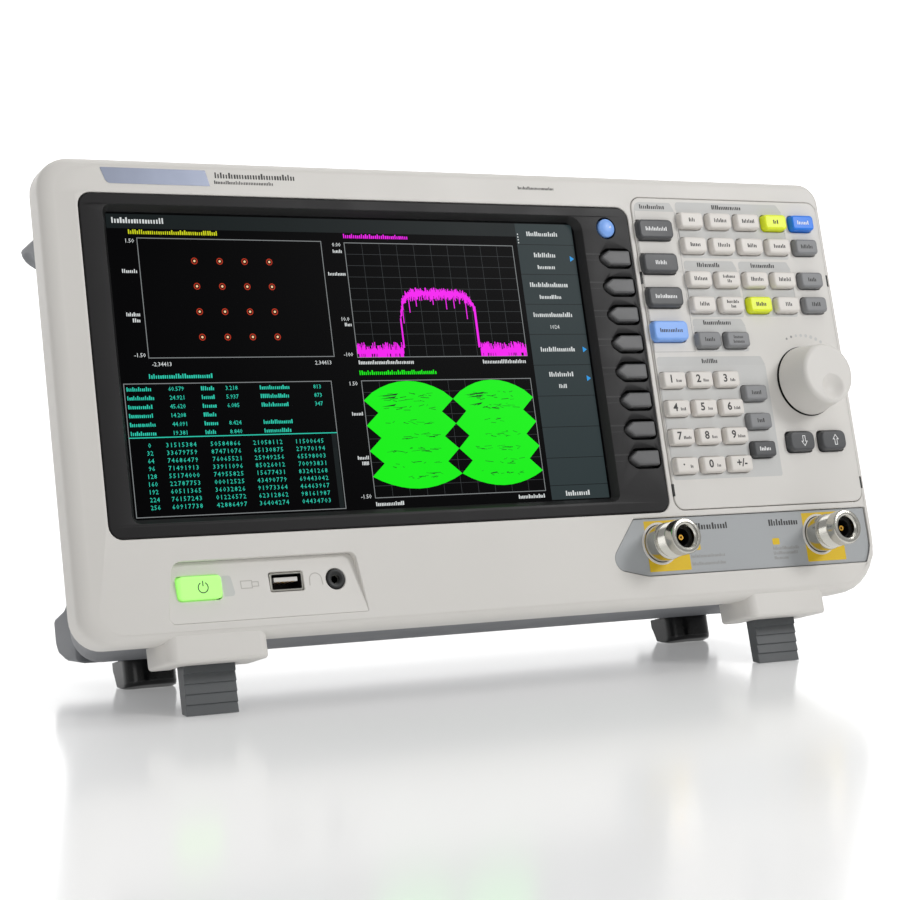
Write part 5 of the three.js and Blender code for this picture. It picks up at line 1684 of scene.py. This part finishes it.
def fan():
    form = Form()
    b = fan_box
    bore, hub = 28.0, 12.0
    bore_ring = disc(b.cx, b.cz, bore, 56)
    holes = [bore_ring] + [disc(b.cx + sx * 25, b.cz + sz * 25, 2.1, 20) for sx in (-1, 1) for sz in (-1, 1)]
    form.plate(rect(b.x0, b.x1, b.z0, b.z1, 4),
               [(b.y0, -0.4), (b.y0 + 0.4, 0), (b.y1 - 0.4, 0), (b.y1, -0.4)], holes,
               [(b.y0, -0.4), (b.y0 + 0.4, 0), (b.y1, 0)], 0)
    form.lathe(b.cx, b.cz, [(0, b.y1), (hub, b.y1), (hub, b.y1 - 2.5), (0, b.y1 - 2.5)], 0, 40)
    for angle in (30, 150, 270):
        a = math.radians(-angle)
        start = len(form.verts)
        form.slab(rect(hub - 1, bore + 0.5, -1.5, 1.5, 0.3, 2)(), b.y1 - 2.5, b.y1)
        for v in form.verts[start:]:
            x, z = v.x, v.z
            v.x, v.z = b.cx + x * math.cos(a) - z * math.sin(a), b.cz + x * math.sin(a) + z * math.cos(a)
    piece("fan_housing", form, [BLACK_PLASTIC_AND_SLOT_SHADE], "case", ["fan_frame"], angle=40)
    rotor = case_box("fan_rotor")
    form = Form()
    form.lathe(b.cx, b.cz, [(0, rotor.y0), (hub - 1.5, rotor.y0), (hub, rotor.y0 + 1.5), (hub, rotor.y1),
                            (0, rotor.y1)], 0, 40)
    blades, sections = 7, 9
    for k in range(blades):
        base = 2 * math.pi * k / blades
        previous = None
        for s in range(sections):
            t = s / (sections - 1)
            radius = hub - 0.6 + (bore - 1.3 - hub + 0.6) * t
            pitch = math.radians(50 - 14 * t)
            sweep = base + 0.22 * t * t
            chord = 6.2 + 0.4 * t
            thick = 0.65 - 0.25 * t
            section = []
            for side, along in ((1, -1), (1, -0.3), (1, 0.4), (1, 1), (-1, 1), (-1, 0.4), (-1, -0.3),
                                (-1, -1)):
                u = along * chord
                w = side * thick * (1 - 0.6 * abs(along)) + 0.5 * (1 - along * along)
                across = u * math.cos(pitch) - w * math.sin(pitch)
                depth = u * math.sin(pitch) + w * math.cos(pitch)
                angle = sweep + across / radius
                section.append(Vector((b.cx + radius * math.cos(angle), (rotor.y0 + rotor.y1) / 2 + depth,
                                       b.cz + radius * math.sin(angle))))
            start = len(form.verts)
            form.verts += section
            ring = list(range(start, start + len(section)))
            if previous:
                form.strip(previous, ring, 0)
            else:
                form.face(ring, 0)
            previous = ring
        form.face(previous, 0)
    piece("fan_impeller", form, [BLACK_PLASTIC_AND_SLOT_SHADE], "fan_rotor", ["fan_rotor"], angle=40)


def case_screws():
    form = Form()
    for x, z in ((-150, 150), (150, 150), (-150, 60), (150, 60), (0, 150), (0, 60)):
        screw(form, x, BACK_Y - 0.05, z, 2.7, 0, 1)
    piece("case_screws", form, [STEEL, BLACK_PLASTIC_AND_SLOT_SHADE], "case")


ac_inlet()
rear_sockets()
fan()
case_screws()

for node, look in (("chassis", STEEL), ("rf_module", STEEL), ("power_supply", STEEL),
                   ("main_board", BOARD_GREEN),
                   ("keypad_board", BOARD_GREEN), ("rotary_encoder", NICKEL)):
    slots = frame["nodes"][node].data.materials
    slots.clear()
    slots.append(look)


# ---------------------------------------------------------------- studio


def area_light(name, place, target, size, power, colour=(1, 1, 1)):
    light = bpy.data.lights.new(name, "AREA")
    light.shape = "RECTANGLE"
    light.size, light.size_y = size
    light.energy = power
    light.color = colour
    obj = bpy.data.objects.new(name, light)
    obj.location = place
    obj.rotation_euler = (Vector(target) - Vector(place)).to_track_quat("-Z", "Y").to_euler()
    bpy.context.scene.collection.objects.link(obj)


def stage_sheet(name, corners, colour, glow, rough):
    """A large matt or polished sheet: the floor, or the backdrop behind it."""
    form = Form()
    steps = 20
    a, b, c = (Vector(p) for p in corners)
    for i in range(steps + 1):
        for j in range(steps + 1):
            form.verts.append(a + (b - a) * (i / steps) + (c - a) * (j / steps))
    for i in range(steps):
        for j in range(steps):
            k = i * (steps + 1) + j
            form.face([k, k + steps + 1, k + steps + 2, k + 1], 0)
    look, tree, bsdf = new_material(name)
    slow = noise_node(tree, 0.8, 2)
    shade(tree, slow.outputs["Fac"], [colour] * 3, 0.01, bsdf.inputs["Base Color"])
    shade(tree, slow.outputs["Fac"], [1, 1, 1], 0.005, bsdf.inputs["Emission Color"])
    bsdf.inputs["Emission Strength"].default_value = glow
    spread(tree, slow.outputs["Fac"], rough - 0.02, rough + 0.02, bsdf.inputs["Roughness"])
    fine = noise_node(tree, 300, 2)
    bump(tree, fine.outputs["Fac"], bsdf, 0.002, 0.1)
    mesh = mesh_of(name, form, [look], Matrix.Identity(4))
    obj = bpy.data.objects.new(name, mesh)
    bpy.context.scene.collection.objects.link(obj)


def studio():
    low = FLOOR_Z - 0.0002
    stage_sheet("studio_floor", ((-6, -6, low), (6, -6, low), (-6, 6, low)), 0.86, 0.2, 0.15)
    stage_sheet("studio_backdrop", ((-8, 6, -1), (8, 6, -1), (-8, 6, 7)), 0.9, 1.0, 0.6)
    world = bpy.data.worlds.new("studio")
    bpy.context.scene.world = world
    world.use_nodes = True
    background = world.node_tree.nodes["Background"]
    background.inputs["Color"].default_value = (1, 1, 1, 1)
    background.inputs["Strength"].default_value = 0.36
    bpy.context.scene.view_settings.view_transform = "Standard"
    middle = (0, 0, 0.1)
    area_light("top_softbox", (0.2, 0.1, 1.5), middle, (1.6, 1.2), 6.5)
    area_light("key_softbox", (1.3, -1.5, 1.3), middle, (0.6, 0.6), 17)
    area_light("side_softbox", (-1.6, -0.9, 0.5), middle, (0.6, 1.0), 2)


def camera():
    """The photograph's view: from the left of the front and a little above, through a long lens."""
    lens = bpy.data.cameras.new("camera")
    lens.sensor_width = 36
    lens.lens = 87.24
    lens.shift_x, lens.shift_y = 0.0433, -0.0851
    lens.clip_end = 50
    obj = bpy.data.objects.new("camera", lens)
    obj.location = CASE @ Vector((-480.35, -790.91, -79.55))
    azimuth, down = math.radians(28.48), math.radians(1.4)
    aim = Vector((math.sin(azimuth) * math.cos(down), math.cos(azimuth) * math.cos(down), -math.sin(down)))
    obj.rotation_euler = aim.to_track_quat("-Z", "Y").to_euler()
    bpy.context.scene.collection.objects.link(obj)
    bpy.context.scene.camera = obj


studio()
camera()
